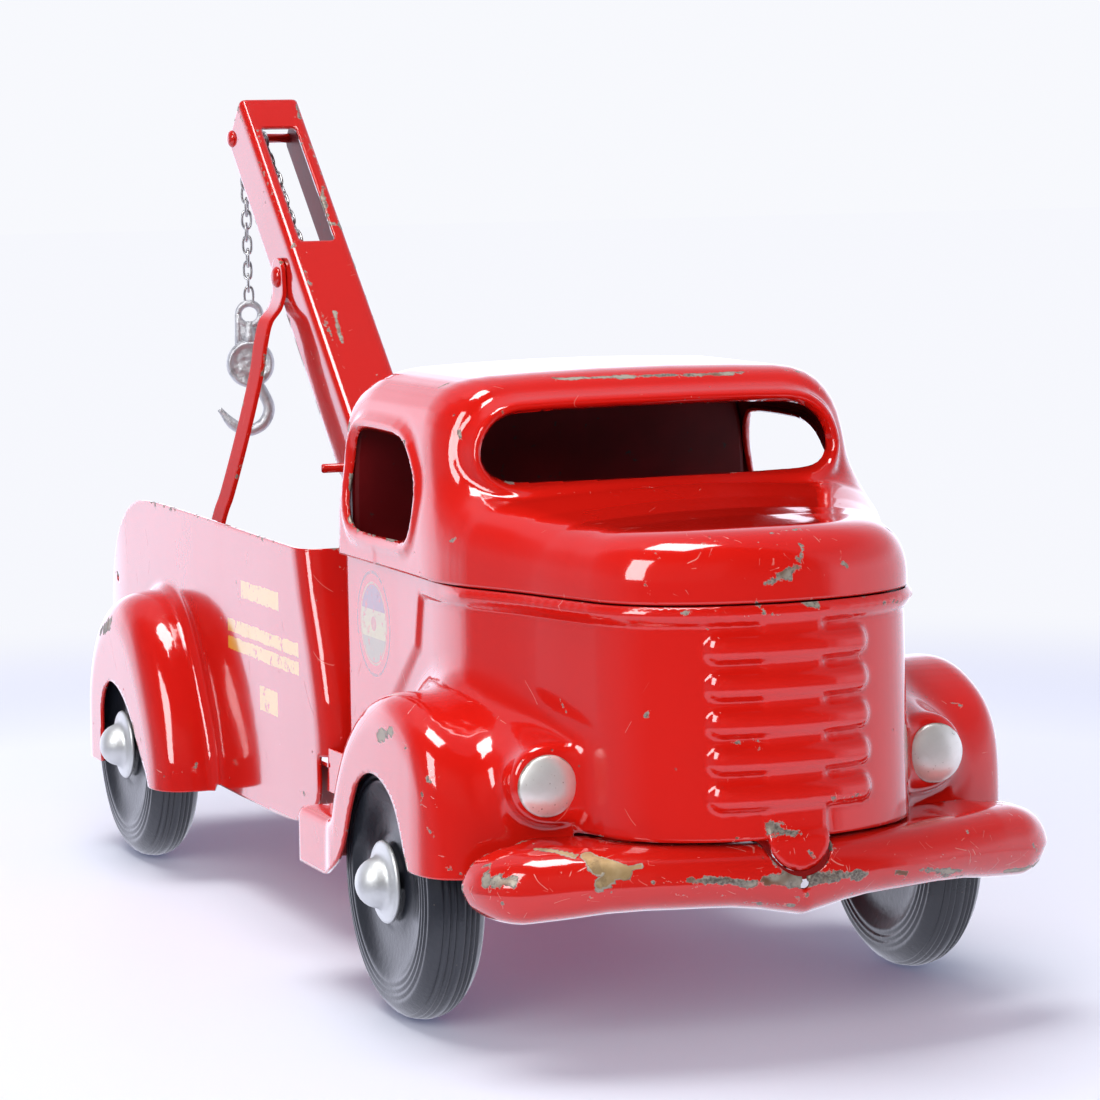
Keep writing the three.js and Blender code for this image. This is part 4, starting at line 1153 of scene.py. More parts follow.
UPPER_WEAR = marks("""
-27.8 -58.2 111 2.2 -69.5 106.8 5.57 0.26      -30.3 -60.8 103.5 -20.1 -66.8 102.4 1.71 0.42
-29.6 -60.9 105.6 -29.5 -61.7 100.7 0.85 0.5   -21.3 -64.5 108.7 -7.3 -69.6 104.5 2.56 0.32
-5.6 -69.9 103.6 2.2 -69.5 106.5 1.28 0.88     -0.4 -70.1 104.2 1.5 -69.1 107.8 0.86 0.95
4.1 -66.2 111.7 3 -68.9 108.2 0.65 0.85        13.2 -68.2 106.4 14.4 -68.1 105.7 0.76 1
32.4 -51.9 111.3 33.5 -51.2 110.7 0.78 0.95    -2 -63.7 113.4 7.2 -62.4 113.6 0.65 0.75
-1.8 -67.1 111.1 -1.7 -67.9 110.1 0.64 0.85    8.5 -69.4 104.9 9.9 -69.4 103 0.86 0.55
-18.3 -63.1 111.6 -14.7 -63.4 112.3 0.64 0.5   5.8 -67.2 110.6 22 -63.7 109.4 1.94 0.3
-17.2 -39.5 114.9 -4 -42.3 115.1 0.88 0.42     7.4 -38.6 115.3 15.3 -42.7 114.7 0.89 0.35
18.2 -66.3 107.7 27.5 -62.4 105.7 1.52 0.3     -45.8 20.9 142 -21 8.1 143.5 0.79 1
-21 8.1 143.5 13.9 7.2 143.2 0.74 1            13.9 7.2 143.2 42.4 9.5 142.2 0.8 1
-47.5 5.1 133.1 -47.1 4.2 131.6 0.8 0.9        -53.9 -2.9 108 -52.3 -6.6 110.3 0.59 0.7
-53.8 8.6 117.2 -55.1 3.2 104 0.91 0.3         50.6 6 125.9 51 1.6 118.6 0.95 0.6
-40.5 -1.5 121.9 -31.5 -4.6 120.3 0.68 0.4     -28.4 -9 118.7 3.3 -15.4 118.5 0.56 0.42
-46.7 1.1 124.3 -47.2 -3.7 117.9 0.68 0.35     -11.7 6.5 142.6 11 0.9 137.8 3.23 0.14
-54.5 55.9 106.1 -55.3 17 106.2 0.72 0.35      -51.8 68.8 130.2 -54.5 61.7 108 0.49 0.55
-53.4 24.2 129.8 -54.8 12.7 112.3 0.58 0.35
""")
LOWER_WEAR = marks("""
-23.9 -66.4 97.5 -3.9 -71.2 96.7 0.51 0.75    3 -70.7 98.4 5.8 -70.7 98 0.64 0.7
22.6 -67 97.2 31.9 -60.9 96.4 0.65 0.5        -20 -66.3 91.6 -12.4 -70.2 91.6 0.64 0.3
-30.6 -60.6 75 -30.1 -61.1 75.7 0.86 0.55     -20.6 -66.9 71.2 -8.2 -70.7 68.7 2.14 0.22
-34.2 -55.8 89.2 -29.7 -61.3 78.7 3.87 0.16   -16.2 -70.1 88.6 18.1 -68.2 87.4 0.55 0.42
-18.5 -68.8 80.6 17.5 -69.1 79.4 0.56 0.42    -18.7 -69 72.9 17 -70.1 71.7 0.56 0.42
-18.8 -69.1 64.7 16.8 -70.2 63.4 0.56 0.42    -19 -69.2 57 16.7 -70.3 55.1 0.56 0.5
7.3 -72.8 55.8 15.1 -71.5 56.1 1.08 0.6       -37.3 -50.6 48.1 -13 -70.2 49.2 0.65 0.5
-7 -72.6 50.6 -0.4 -73.7 49.4 1.51 0.95       -6.3 -73.6 46.2 2.3 -74 45.1 1.08 0.45
-72.2 -6.1 66.3 -72 -15 68.4 1.57 0.95        -71.8 -20.8 67 -71.5 -25.1 65.4 0.88 0.55
-69.9 -29.6 64.2 -68.9 -34.2 55.9 1.97 0.5    -71.2 -30.3 57.7 -69.9 -33.9 48.3 1.75 0.45
-68.8 -35.5 42.9 -64.7 -38 39.9 1.09 0.5      -54.1 -17 74.6 -49.8 -27.2 71.2 1.56 0.4
-41 -37.9 76.4 -40.4 -39.8 74 0.66 0.7        -55.3 -40.8 60.3 -54.6 -42.9 56.2 1.09 0.42
-72.2 17.4 55 -65.9 32.8 45.1 0.69 0.55       -44.4 -45.3 52.4 -40.7 -44.7 49.6 0.87 0.5
-63.6 -23.3 71.6 -58.5 -28.3 68.6 1.76 0.22   54.5 -29.5 68.4 61.8 -30.4 66.9 1.39 0.45
65 -36.4 55.8 69.1 -35 47.1 1.16 0.35
""")
BED_WEAR = marks("""
-71 234.6 61.9 -71.2 222.6 65.5 1.71 0.95     -69.8 216.9 70 -66.8 214.9 72.9 1.12 0.5
-62.9 212.5 74 -59.3 212.7 74.3 1.12 0.45     -70 180.1 30.4 -64.4 175.5 29.2 1.64 0.65
-63 175.4 30.5 -61.2 175.5 32.5 1.09 0.6      -71.5 202.5 52.3 -71.5 194 36.7 1.94 0.26
-55.2 272.5 74.3 -55.3 270 72.2 0.74 0.9      -55.6 152.4 84.2 -55.6 149.4 78.2 0.58 0.75
-55.6 235.3 98.1 -54.9 101.3 97 0.57 0.35     -53.1 98.9 97.1 -44.5 97.5 97.3 0.5 0.5
-45.4 96.7 94.4 -45.7 93.5 84.6 0.75 0.6      -55.6 102.2 35.8 -55.7 92.6 34.8 1.02 0.5
-55.6 187.2 64.1 -55.6 182 59.3 0.82 0.35
""")
BOOM_WEAR = marks("""
-9.5 288.3 209 -9.4 277.5 200 0.6 0.75        -9.4 277.5 200 -7.8 246.4 172.4 0.6 0.6
-7.8 246.4 172.4 -5.2 207.3 135.1 0.58 0.55   8 286.1 210.2 7.8 281.9 206.3 0.61 0.75
7.8 281.9 206.3 8.9 241.8 167.1 0.54 0.5      8.9 241.8 167.1 9.1 213.7 139.9 0.52 0.6
-2.6 223.7 150.7 -3.3 215.1 142.6 0.74 0.9    -4.6 221.4 148.6 0.3 218.4 145.7 2.57 0.3
6.9 237.9 164.4 6.9 229.7 156.5 1.16 0.5      -7 278.8 203.5 -7.5 272.1 197 0.75 0.6
7.2 262.5 187.9 5.8 251.9 177.8 0.65 0.55     -9.5 260.3 167.8 0.5 227 153.9 5.9 0.18
-9.5 295.1 200.1 -9.5 287.6 192.6 0.91 0.5    -9.5 242.6 153.7 -9.5 208.5 126.7 0.87 0.35
""")
# The rows start too near the middle to be carried over to the left brace.
BRACE_WEAR = marks("""
-10.4 254.7 155.7 -20.7 247.9 124.9 0.88 0.4  -20.7 247.9 124.9 -31.6 242.6 92.4 0.87 0.4
""")


def wear_values(points, rows, base):
    wear = np.full(len(points), base)
    for row in rows:
        start, end, radius, amount = np.array(row[0:3]), np.array(row[3:6]), row[6], row[7]
        radius = max(radius, 0.75)
        span = end - start
        part = np.clip(((points - start) @ span) / max(span @ span, 1e-9), 0, 1)
        distance = np.linalg.norm(points - (start + part[:, None] * span), axis=1)
        if amount > 1.3:        # bare patches have a firm edge
            value = amount * smooth_step(-distance, -radius * 1.15, -radius * 0.55)
        else:
            value = amount * np.exp(-((distance / (radius * 1.25)) ** 2))
        wear = np.maximum(wear, value)
    return wear


def edge_values(piece, reach=1.2, sharp=0.75):
    """1 on free edges and sharp folds (cosine below sharp), fading within a few mm"""
    faces_of = {}
    for polygon in piece.data.polygons:
        for key in polygon.edge_keys:
            faces_of.setdefault(key, []).append(polygon.index)
    normals = [polygon.normal for polygon in piece.data.polygons]
    on_edge = set()
    for key, sides in faces_of.items():
        folded = len(sides) == 2 and normals[sides[0]].dot(normals[sides[1]]) < sharp
        if len(sides) == 1 or folded:
            on_edge.update(key)
    points = drawn_points(piece)
    values = np.zeros(len(points))
    if on_edge:
        tree = KDTree(len(on_edge))
        for i in on_edge:
            tree.insert(Vector(points[i]), i)
        tree.balance()
        for i, point in enumerate(points):
            values[i] = math.exp(-tree.find(Vector(point))[2] / reach)
    return values


def set_attribute(piece, name, values):
    attribute = piece.data.attributes.new(name, "FLOAT", "POINT")
    attribute.data.foreach_set("value", np.asarray(values, np.float32))


def other_side(rows):
    """outer marks carried to the other side, moved a little and weakened"""
    return [(-x0, y0 + 5, z0 - 2, -x1, y1 + 3, z1 - 3, radius, amount * 0.85)
            for x0, y0, z0, x1, y1, z1, radius, amount in rows if abs(x0) > 25]


def other_side_cab(rows):
    return [(-x0 * 0.9, y0 + 9, z0, -x1 * 0.9, y1 + 9, z1, radius, amount * 0.7)
            for x0, y0, z0, x1, y1, z1, radius, amount in rows if y0 > 20]


# piece, wear everywhere, marks
for piece, base, rows in (
        (lower, 0.02, LOWER_WEAR + other_side([row for row in LOWER_WEAR if row[7] > 0.4])),
        (upper, 0.03, UPPER_WEAR + other_side_cab(UPPER_WEAR)),
        (bumper, 0.27, BUMPER_WEAR),
        (bed_parts["right"], 0.02, BED_WEAR),
        (bed_parts["left"], 0.03, other_side(BED_WEAR)),
        (boom, 0.12, BOOM_WEAR),
        (boom_foot, 0.03, []),
        (braces["right"], 0.10, BRACE_WEAR),
        (braces["left"], 0.03, []),
        (winch, 0.03, [])):
    set_attribute(piece, "wear", wear_values(drawn_points(piece), rows, base))
    set_attribute(piece, "edge", edge_values(piece))
for piece in lamps.values():
    x, _, z = drawn_points(piece).T
    radius = np.hypot(x - x.mean(), z - z.mean())
    set_attribute(piece, "edge", smooth_step(radius, radius.max() * 0.86, radius.max() * 0.98))


# ------------------------------------------------------------------ node graphs
def operator(operation, swapped=False):
    def apply(self, other):
        pair = (other, self) if swapped else (self, other)
        return self.graph.math(operation, *pair)
    return apply


class Value:
    """node output that can be used in sums; every operator adds a Math node"""

    def __init__(self, graph, socket):
        self.graph, self.socket = graph, socket

    __add__, __radd__ = operator("ADD"), operator("ADD", swapped=True)
    __sub__, __rsub__ = operator("SUBTRACT"), operator("SUBTRACT", swapped=True)
    __mul__, __rmul__ = operator("MULTIPLY"), operator("MULTIPLY", swapped=True)
    __truediv__, __pow__ = operator("DIVIDE"), operator("POWER")

    def __abs__(self):
        return self.graph.math("ABSOLUTE", self)

    def rise(self, start, end):
        """goes smoothly from 0 at start to 1 at end; start may be the larger"""
        return self.graph.add("ShaderNodeMapRange", {0: self, 1: start, 2: end},
                              interpolation_type="SMOOTHSTEP")

    def blend(self, at_0, at_1):
        """number between at_0 and at_1"""
        return self.graph.add("ShaderNodeMix", {0: self, 2: at_0, 3: at_1})

    def tint(self, at_0, at_1):
        """colour between at_0 and at_1"""
        return self.graph.add("ShaderNodeMix", {0: self, 6: at_0, 7: at_1}, output=2,
                              data_type="RGBA")


class Graph:
    """node tree of a material or world"""

    def __init__(self, owner):
        self.owner = owner
        owner.use_nodes = True
        self.tree = owner.node_tree
        self.tree.nodes.clear()

    def add(self, kind, inputs, output=0, **settings):
        """adds a node; returns one output, or a list when output is a tuple of keys"""
        node = self.tree.nodes.new(kind)
        for key, value in settings.items():
            setattr(node, key, value)
        for key, value in inputs.items():
            socket = node.inputs[key]
            if isinstance(value, Value):
                self.tree.links.new(value.socket, socket)
            elif socket.type == "RGBA":
                socket.default_value = tuple(value) + (1.0,)
            else:
                socket.default_value = value
        if isinstance(output, tuple):
            return [Value(self, node.outputs[key]) for key in output]
        return Value(self, node.outputs[output])

    def math(self, operation, *values, clamp=False):
        return self.add("ShaderNodeMath", dict(enumerate(values)), operation=operation,
                        use_clamp=clamp)

    def max(self, first, second):
        return self.math("MAXIMUM", first, second)

    def vector(self, operation, *values):
        output = "Value" if operation in ("DOT_PRODUCT", "LENGTH") else "Vector"
        return self.add("ShaderNodeVectorMath", dict(enumerate(values)), output,
                        operation=operation)

    def split(self, vector):
        return self.add("ShaderNodeSeparateXYZ", {0: vector}, output=(0, 1, 2))

    def noise(self, scale, detail, rough, at=None):
        return self.add("ShaderNodeTexNoise", {
            "Vector": at or self.point, "Scale": scale, "Detail": detail, "Roughness": rough})

    def dots(self, scale):
        """distance to the nearest of scattered points"""
        return self.add("ShaderNodeTexVoronoi", {"Vector": self.point, "Scale": scale})

    def mapped(self, scale=(1, 1, 1), move=(0, 0, 0)):
        return self.add("ShaderNodeMapping", {"Vector": self.point, "Scale": scale,
                                              "Location": move})

    def attribute(self, name):
        return self.add("ShaderNodeAttribute", {}, output="Fac", attribute_name=name)

    def bump(self, height, strength, distance, **normal):
        return self.add("ShaderNodeBump", {"Strength": strength, "Distance": distance,
                                           "Height": height, **normal})

    def principled(self, **inputs):
        return self.add("ShaderNodeBsdfPrincipled",
                        {key.replace("_", " "): value for key, value in inputs.items()})

    def output(self, shader, kind="ShaderNodeOutputMaterial"):
        self.add(kind, {0: shader}, output=())
        return self.owner

    def surface(self, **inputs):
        return self.output(self.principled(**inputs))


def material_graph(name):
    graph = Graph(bpy.data.materials.new(name))
    graph.point = graph.add("ShaderNodeTexCoord", {}, output="Object")
    return graph


# ------------------------------------------------------------------ enamel
PRIMER, PRIMER_PALE = (0.13, 0.105, 0.09), (0.30, 0.265, 0.22)
STEEL_CHIP, RUST_CHIP = (0.42, 0.37, 0.30), (0.19, 0.085, 0.045)
GOLD_DARK, GOLD, GOLD_STAIN = (0.36, 0.235, 0.10), (0.56, 0.42, 0.235), (0.20, 0.135, 0.07)
SCRATCH_RED, PINHOLE, CHIP_RIM = (0.80, 0.42, 0.34), (0.20, 0.06, 0.045), (0.78, 0.42, 0.36)
BAR_YELLOW = (0.80, 0.50, 0.035)
# oval badge: lower and upper halves of the field, band, disc, inner and outer rings
BADGE_GREEN, BADGE_BLUE, BADGE_BAND = (0.16, 0.30, 0.17), (0.075, 0.105, 0.21), (0.52, 0.42, 0.16)
BADGE_DISC, BADGE_INNER, BADGE_RING = (0.50, 0.05, 0.035), (0.30, 0.36, 0.16), (0.16, 0.03, 0.03)

# yellow bars on the bed sides: middle y, z and half sizes along y, z
BED_BARS = [(132.3, 82.3, 16.0, 2.3), (130.8, 71.6, 30.0, 1.7), (130.8, 66.9, 30.0, 1.7),
            (126.4, 55.3, 7.5, 3.2)]
DOOR_OVAL = (50.2, 84.0, 12.2, 12.9)     # middle y, z and radii along y, z


def scratch_cells(graph, scale, width, length, share, seed):
    """short scratches: one thin plane at a random tilt inside a share of the cells"""
    bend = graph.add("ShaderNodeTexNoise", {"Vector": graph.point, "Scale": scale * 0.9,
                                            "Detail": 1.0}, output="Color")
    shifted = graph.mapped(scale=(scale,) * 3, move=(seed, seed * 2.3, seed * 0.7))
    place = graph.vector("MULTIPLY_ADD", bend, (0.16, 0.16, 0.16), shifted)
    colour, centre = graph.add("ShaderNodeTexVoronoi", {"Vector": place, "Scale": 1.0},
                               output=("Color", "Position"))
    offset = graph.vector("SUBTRACT", place, centre)
    tilt = graph.vector("NORMALIZE", graph.vector("SUBTRACT", colour, (0.5, 0.5, 0.5)))
    height = graph.vector("DOT_PRODUCT", offset, tilt)
    distance = graph.vector("LENGTH", offset)
    pick, size = graph.add("ShaderNodeSeparateColor", {0: colour}, output=(1, 2))
    line = abs(height).rise(width, width * 0.3)
    reach = length * (0.35 + size)
    line = line * distance.rise(reach, reach * 0.8)
    return line * pick.rise(share, graph.math("SUBTRACT", share, 0.02))


def chip_colour(graph, depth, wear, mid, micro):
    """primer, then steel and rust; a golden undercoat where the wear is deep"""
    colour = micro.rise(0.35, 0.65).tint(PRIMER, PRIMER_PALE)
    colour = (depth.rise(0.03, 0.08) * mid.rise(0.42, 0.5)).tint(colour, STEEL_CHIP)
    rust = graph.noise(scale=140, detail=2, rough=0.5)
    colour = rust.rise(0.52, 0.66).tint(colour, RUST_CHIP)
    bare = wear.rise(1.02, 1.25)
    patches = graph.noise(scale=75, detail=4, rough=0.6)
    stains = graph.noise(scale=210, detail=4, rough=0.7)
    gold = patches.rise(0.36, 0.62).tint(GOLD_DARK, GOLD)
    gold = (stains.rise(0.50, 0.60) * 0.5).tint(gold, GOLD_STAIN)
    return bare.tint(colour, gold), bare


def enamel_scratches(graph, wear, scuff):
    """a few long ones anywhere, many short ones where the surface is rubbed"""
    sparse = graph.max(
        scratch_cells(graph, scale=95, width=0.010, length=0.55, share=0.06, seed=1.7),
        scratch_cells(graph, scale=170, width=0.016, length=0.5, share=0.10, seed=8.3))
    dense = graph.max(
        scratch_cells(graph, scale=240, width=0.018, length=0.6, share=0.32, seed=3.9),
        scratch_cells(graph, scale=480, width=0.034, length=0.5, share=0.40, seed=11.2))
    uneven = (graph.noise(scale=65, detail=3, rough=0.6) - 0.5) * 1.1
    dense = dense * (wear + uneven).rise(0.20, 0.46)
    return graph.max(sparse * scuff, dense * 0.85)


def enamel(name, base=(0.66, 0.0105, 0.0055), decal=None, scuff=0.5, matt_below=None):
    """worn glossy paint; matt_below = heights in metres where it starts and ends going matt"""
    graph = material_graph(name)
    edge, wear = graph.attribute("edge"), graph.attribute("wear")
    big = graph.noise(scale=9, detail=3, rough=0.5)
    mid = graph.noise(scale=55, detail=4, rough=0.55)
    fine = graph.noise(scale=420, detail=4, rough=0.6)
    micro = graph.noise(scale=1600, detail=2, rough=0.5)
    red, green, blue = base
    colour = big.rise(0.3, 0.7).tint(base, (red * 0.93, green * 0.8, blue * 0.8))
    colour = (mid.rise(0.5, 0.75) * 0.18).tint(colour, (red * 0.8, green * 1.1, blue * 1.2))
    if decal:
        colour = decal(graph, colour, fine)

    # chips open where the noise passes a threshold, lower at edges and worn places
    grain = (graph.noise(scale=380, detail=5, rough=0.66) * 0.60
             + graph.noise(scale=105, detail=3, rough=0.6) * 0.40)
    depth = grain - (0.735 - (wear * 0.35 + edge * 0.115))
    chip = depth.rise(-0.002, 0.006)
    rim = graph.math("SUBTRACT", depth.rise(-0.016, -0.004), chip, clamp=True)
    chipped, bare = chip_colour(graph, depth, wear, mid, micro)

    # pinholes in patches
    patches = graph.noise(scale=48, detail=2, rough=0.5, at=graph.mapped(move=(3, 1, 7)))
    pin = graph.dots(scale=230).rise(0.085, 0.05) * patches.rise(0.57, 0.63)
    scratch = enamel_scratches(graph, wear, scuff)

    colour = (scratch * 0.6).tint(colour, SCRATCH_RED)
    colour = (pin * 0.8).tint(colour, PINHOLE)
    colour = (rim * 0.55).tint(colour, CHIP_RIM)
    colour = chip.tint(colour, chipped)

    haze = graph.noise(scale=28, detail=5, rough=0.65).rise(0.45, 0.8) * 0.09
    rough = 0.10 + (haze + fine * 0.04)
    rough = graph.max(chip, pin * 0.8).blend(rough, 0.42 + micro * 0.2)
    damage = graph.max(chip, graph.max(scratch * 0.6, pin))
    coat = graph.math("SUBTRACT", 1.0, damage, clamp=True)
    wave = (graph.noise(scale=14, detail=2, rough=0.4) * 1.0
            + graph.noise(scale=130, detail=2, rough=0.5) * 0.045)
    normal = graph.bump(wave, strength=0.32, distance=0.0011)
    height = 0.0 - (chip * 1.0 + (scratch * 0.35 + pin * 0.6))
    height = height + (chip * micro) * bare.blend(0.5, 0.12)
    normal = graph.bump(height, strength=0.9, distance=0.00016, Normal=normal)
    specular = chip.blend(0.22, 0.5)
    if matt_below:
        matt = graph.split(graph.point)[2].rise(*matt_below)
        rough, specular = matt.blend(rough, 0.5), matt.blend(specular, 0.06)
        coat = coat * matt.blend(1.0, 0.07)
    return graph.surface(
        Base_Color=colour, Roughness=rough, Metallic=(chip * depth.rise(0.03, 0.07)) * 0.55,
        IOR=1.5, Specular_IOR_Level=specular, Coat_Weight=coat,
        Coat_Roughness=0.035 + haze * 0.7, Coat_IOR=1.55, Normal=normal, Coat_Normal=normal)


def bed_decal(graph, colour, fine):
    """worn yellow bars on the outer face of each bed side"""
    x, y, z = graph.split(graph.point)
    wobble = (graph.noise(scale=350, detail=2, rough=0.5) - 0.5) * 0.0012
    height = (z + wobble) + 0.0
    bars = None
    for bar_y, bar_z, half_y, half_z in BED_BARS:
        over_y = abs(y - (bar_y - Y_SHIFT) * MM) - half_y * MM
        over_z = abs(height - bar_z * MM) - half_z * MM
        bar = graph.max(over_y, over_z).rise(0.00012, -0.00012)
        bars = graph.max(bars, bar) if bars else bar
    outside = abs(x).rise(0.0551, 0.0554)
    left = fine * 0.6 + graph.noise(scale=110, detail=3, rough=0.6) * 0.4
    return ((bars * outside) * (left.rise(0.63, 0.55) * 0.85)).tint(colour, BAR_YELLOW)


def door_decal(graph, colour, fine):
    """faded oval badge on each door"""
    x, y, z = graph.split(graph.point)
    oval_y, oval_z, radius_y, radius_z = DOOR_OVAL
    u = (y - (oval_y - Y_SHIFT) * MM) / (radius_y * MM)
    v = (z - oval_z * MM) / (radius_z * MM)
    radius = graph.math("SQRT", u * u + v * v)
    outside = abs(x).rise(0.0515, 0.0520)
    left = fine * 0.75 + graph.noise(scale=60, detail=3, rough=0.6) * 0.25
    shown = outside * left.rise(0.62, 0.50)
    outer_ring = radius.rise(1.0, 0.985) * radius.rise(0.925, 0.94)
    inner_ring = radius.rise(0.79, 0.775) * radius.rise(0.735, 0.75)
    inner = radius.rise(0.735, 0.72)
    band = inner * abs(v).rise(0.27, 0.25)
    field = v.rise(-0.02, 0.02).tint(BADGE_GREEN, BADGE_BLUE)
    disc = graph.math("SQRT", u * u + (v * v) * 1.35).rise(0.17, 0.15)
    for shape, strength, paint in ((inner, 0.72, field), (band, 0.80, BADGE_BAND),
                                   (disc, 0.85, BADGE_DISC), (inner_ring, 0.7, BADGE_INNER),
                                   (outer_ring, 0.75, BADGE_RING)):
        colour = ((shape * shown) * strength).tint(colour, paint)
    return colour


def shaded_inside_enamel():
    """red paint darkened on the inner faces: painted shade for the inside of the body"""
    graph = material_graph("red_inside_painted_shade")
    soft = graph.noise(scale=40, detail=4, rough=0.6)
    fine = graph.noise(scale=400, detail=3, rough=0.6)
    # these reds are far darker than the outer enamel: painted shade
    dark, pale, speck = (0.10, 0.0012, 0.0025), (0.16, 0.002, 0.004), (0.05, 0.02, 0.018)
    colour = soft.rise(0.35, 0.7).tint(dark, pale)
    colour = fine.rise(0.66, 0.72).tint(colour, speck)
    return graph.surface(Base_Color=colour, Roughness=soft.blend(0.42, 0.6), Coat_Weight=0.15,
                         Coat_Roughness=0.2, Specular_IOR_Level=0.25,
                         Normal=graph.bump(fine, strength=0.15, distance=0.0003))


# ------------------------------------------------------------------ other finishes
def rubber():
    graph = material_graph("rubber_black")
    soft = graph.noise(scale=60, detail=5, rough=0.6)
    fine = graph.noise(scale=700, detail=4, rough=0.65)
    dust = graph.noise(scale=26, detail=5, rough=0.7).rise(0.52, 0.78)
    specks = (graph.dots(scale=520).rise(0.10, 0.05)
              * graph.noise(scale=70, detail=2, rough=0.5).rise(0.55, 0.62))
    dark, pale = (0.010, 0.0115, 0.017), (0.020, 0.023, 0.033)
    dust_grey, speck_tan = (0.10, 0.095, 0.09), (0.26, 0.22, 0.17)
    colour = soft.tint(dark, pale)
    colour = (dust * 0.20).tint(colour, dust_grey)
    colour = (specks * 0.6).tint(colour, speck_tan)
    return graph.surface(
        Base_Color=colour, Roughness=soft.blend(0.22, 0.38), IOR=1.5, Specular_IOR_Level=0.6,
        Coat_Weight=0.20, Coat_Roughness=0.2,
        Normal=graph.bump(fine + soft * 1.6, strength=0.35, distance=0.0003))


def nickel():
    """pitted plating, rusty at the rim"""
    graph = material_graph("nickel_plate")
    soft = graph.noise(scale=130, detail=5, rough=0.65)
    pits = (graph.dots(scale=900).rise(0.22, 0.10)
            * graph.noise(scale=260, detail=3, rough=0.6).rise(0.47, 0.6))
    rust = (graph.attribute("edge") * 0.5 + soft * 0.5).rise(0.66, 0.80) * 0.85
    bright, dull = (0.95, 0.94, 0.91), (0.84, 0.82, 0.78)
    pit_brown, rust_brown = (0.17, 0.13, 0.10), (0.14, 0.065, 0.035)
    colour = soft.rise(0.3, 0.7).tint(bright, dull)
    colour = (pits * 0.8).tint(colour, pit_brown)
    colour = rust.tint(colour, rust_brown)
    height = graph.noise(scale=320, detail=3, rough=0.6) * 0.5 - pits
    return graph.surface(
        Base_Color=colour, Metallic=rust.blend(0.62, 0.15),
        Roughness=0.24 + (soft * 0.22 + rust * 0.4),
        Normal=graph.bump(height, strength=0.45, distance=0.0002))


def aluminium():
    graph = material_graph("dull_aluminium")
    soft = graph.noise(scale=85, detail=5, rough=0.6)
    brushed = graph.noise(scale=330, detail=4, rough=0.6, at=graph.mapped(scale=(1, 6, 6)))
    spots = graph.noise(scale=210, detail=4, rough=0.7).rise(0.63, 0.72)
    dark, pale, spot_grey = (0.66, 0.67, 0.67), (0.83, 0.835, 0.83), (0.30, 0.29, 0.28)
    colour = (spots * 0.55).tint(soft.tint(dark, pale), spot_grey)
    return graph.surface(
        Base_Color=colour, Metallic=0.85, Roughness=soft.blend(0.40, 0.55),
        Normal=graph.bump(brushed + soft, strength=0.25, distance=0.00025))


def steel(name, dark, pale, rough, rust_at=0.63):
    """plain steel; rust_at is the noise level above which it rusts"""
    graph = material_graph(name)
    soft = graph.noise(scale=300, detail=5, rough=0.6)
    rust = graph.noise(scale=150, detail=4, rough=0.65).rise(rust_at, rust_at + 0.08)
    rust_brown = (0.13, 0.06, 0.035)
    colour = (rust * 0.8).tint(soft.tint(dark, pale), rust_brown)
    return graph.surface(
        Base_Color=colour, Metallic=rust.blend(0.95, 0.3), Roughness=soft.blend(*rough),
        Normal=graph.bump(soft, strength=0.3, distance=0.0002))


def cast_metal():
    graph = material_graph("cast_zinc")
    soft = graph.noise(scale=210, detail=6, rough=0.65)
    fine = graph.noise(scale=1100, detail=4, rough=0.6)
    stain = graph.noise(scale=330, detail=4, rough=0.6).rise(0.52, 0.68)
    dark, pale, stain_grey = (0.52, 0.525, 0.55), (0.80, 0.805, 0.83), (0.24, 0.235, 0.24)
    colour = (stain * 0.5).tint(soft.tint(dark, pale), stain_grey)
    return graph.surface(
        Base_Color=colour, Metallic=0.75, Roughness=soft.blend(0.40, 0.62),
        Normal=graph.bump(soft + fine * 0.4, strength=0.7, distance=0.0005))


RED = enamel("red_enamel")
RED_LOWER = enamel("red_enamel_doors", decal=door_decal)
RED_BED = enamel("red_enamel_bed", base=(0.60, 0.010, 0.006), decal=bed_decal)
RED_WORN = enamel("red_enamel_worn", base=(0.60, 0.011, 0.006), scuff=0.65)
STRAP = enamel("red_enamel_strap", base=(0.64, 0.012, 0.006), matt_below=(0.1520, 0.1475))
INSIDE_SHADED = shaded_inside_enamel()
RUBBER, NICKEL, ALUMINIUM = rubber(), nickel(), aluminium()
CHAIN = steel("chain_steel", dark=(0.52, 0.515, 0.51), pale=(0.78, 0.775, 0.77),
              rough=(0.24, 0.42), rust_at=0.66)
CAST = cast_metal()
RIVET = steel("rivet_steel", dark=(0.22, 0.19, 0.17), pale=(0.42, 0.38, 0.34),
              rough=(0.35, 0.55), rust_at=0.5)
AXLE_STEEL = steel("axle_steel", dark=(0.30, 0.29, 0.28), pale=(0.5, 0.49, 0.48),
                   rough=(0.3, 0.5))


# ------------------------------------------------------------------ finishes on pieces
def dress(piece, outer, inner=None):
    """sets the material; inner goes on the far face of the sheet"""
    piece.data.materials.clear()
    piece.data.materials.append(outer)
    if inner:
        piece.data.materials.append(inner)
        piece.modifiers["sheet"].material_offset = 1
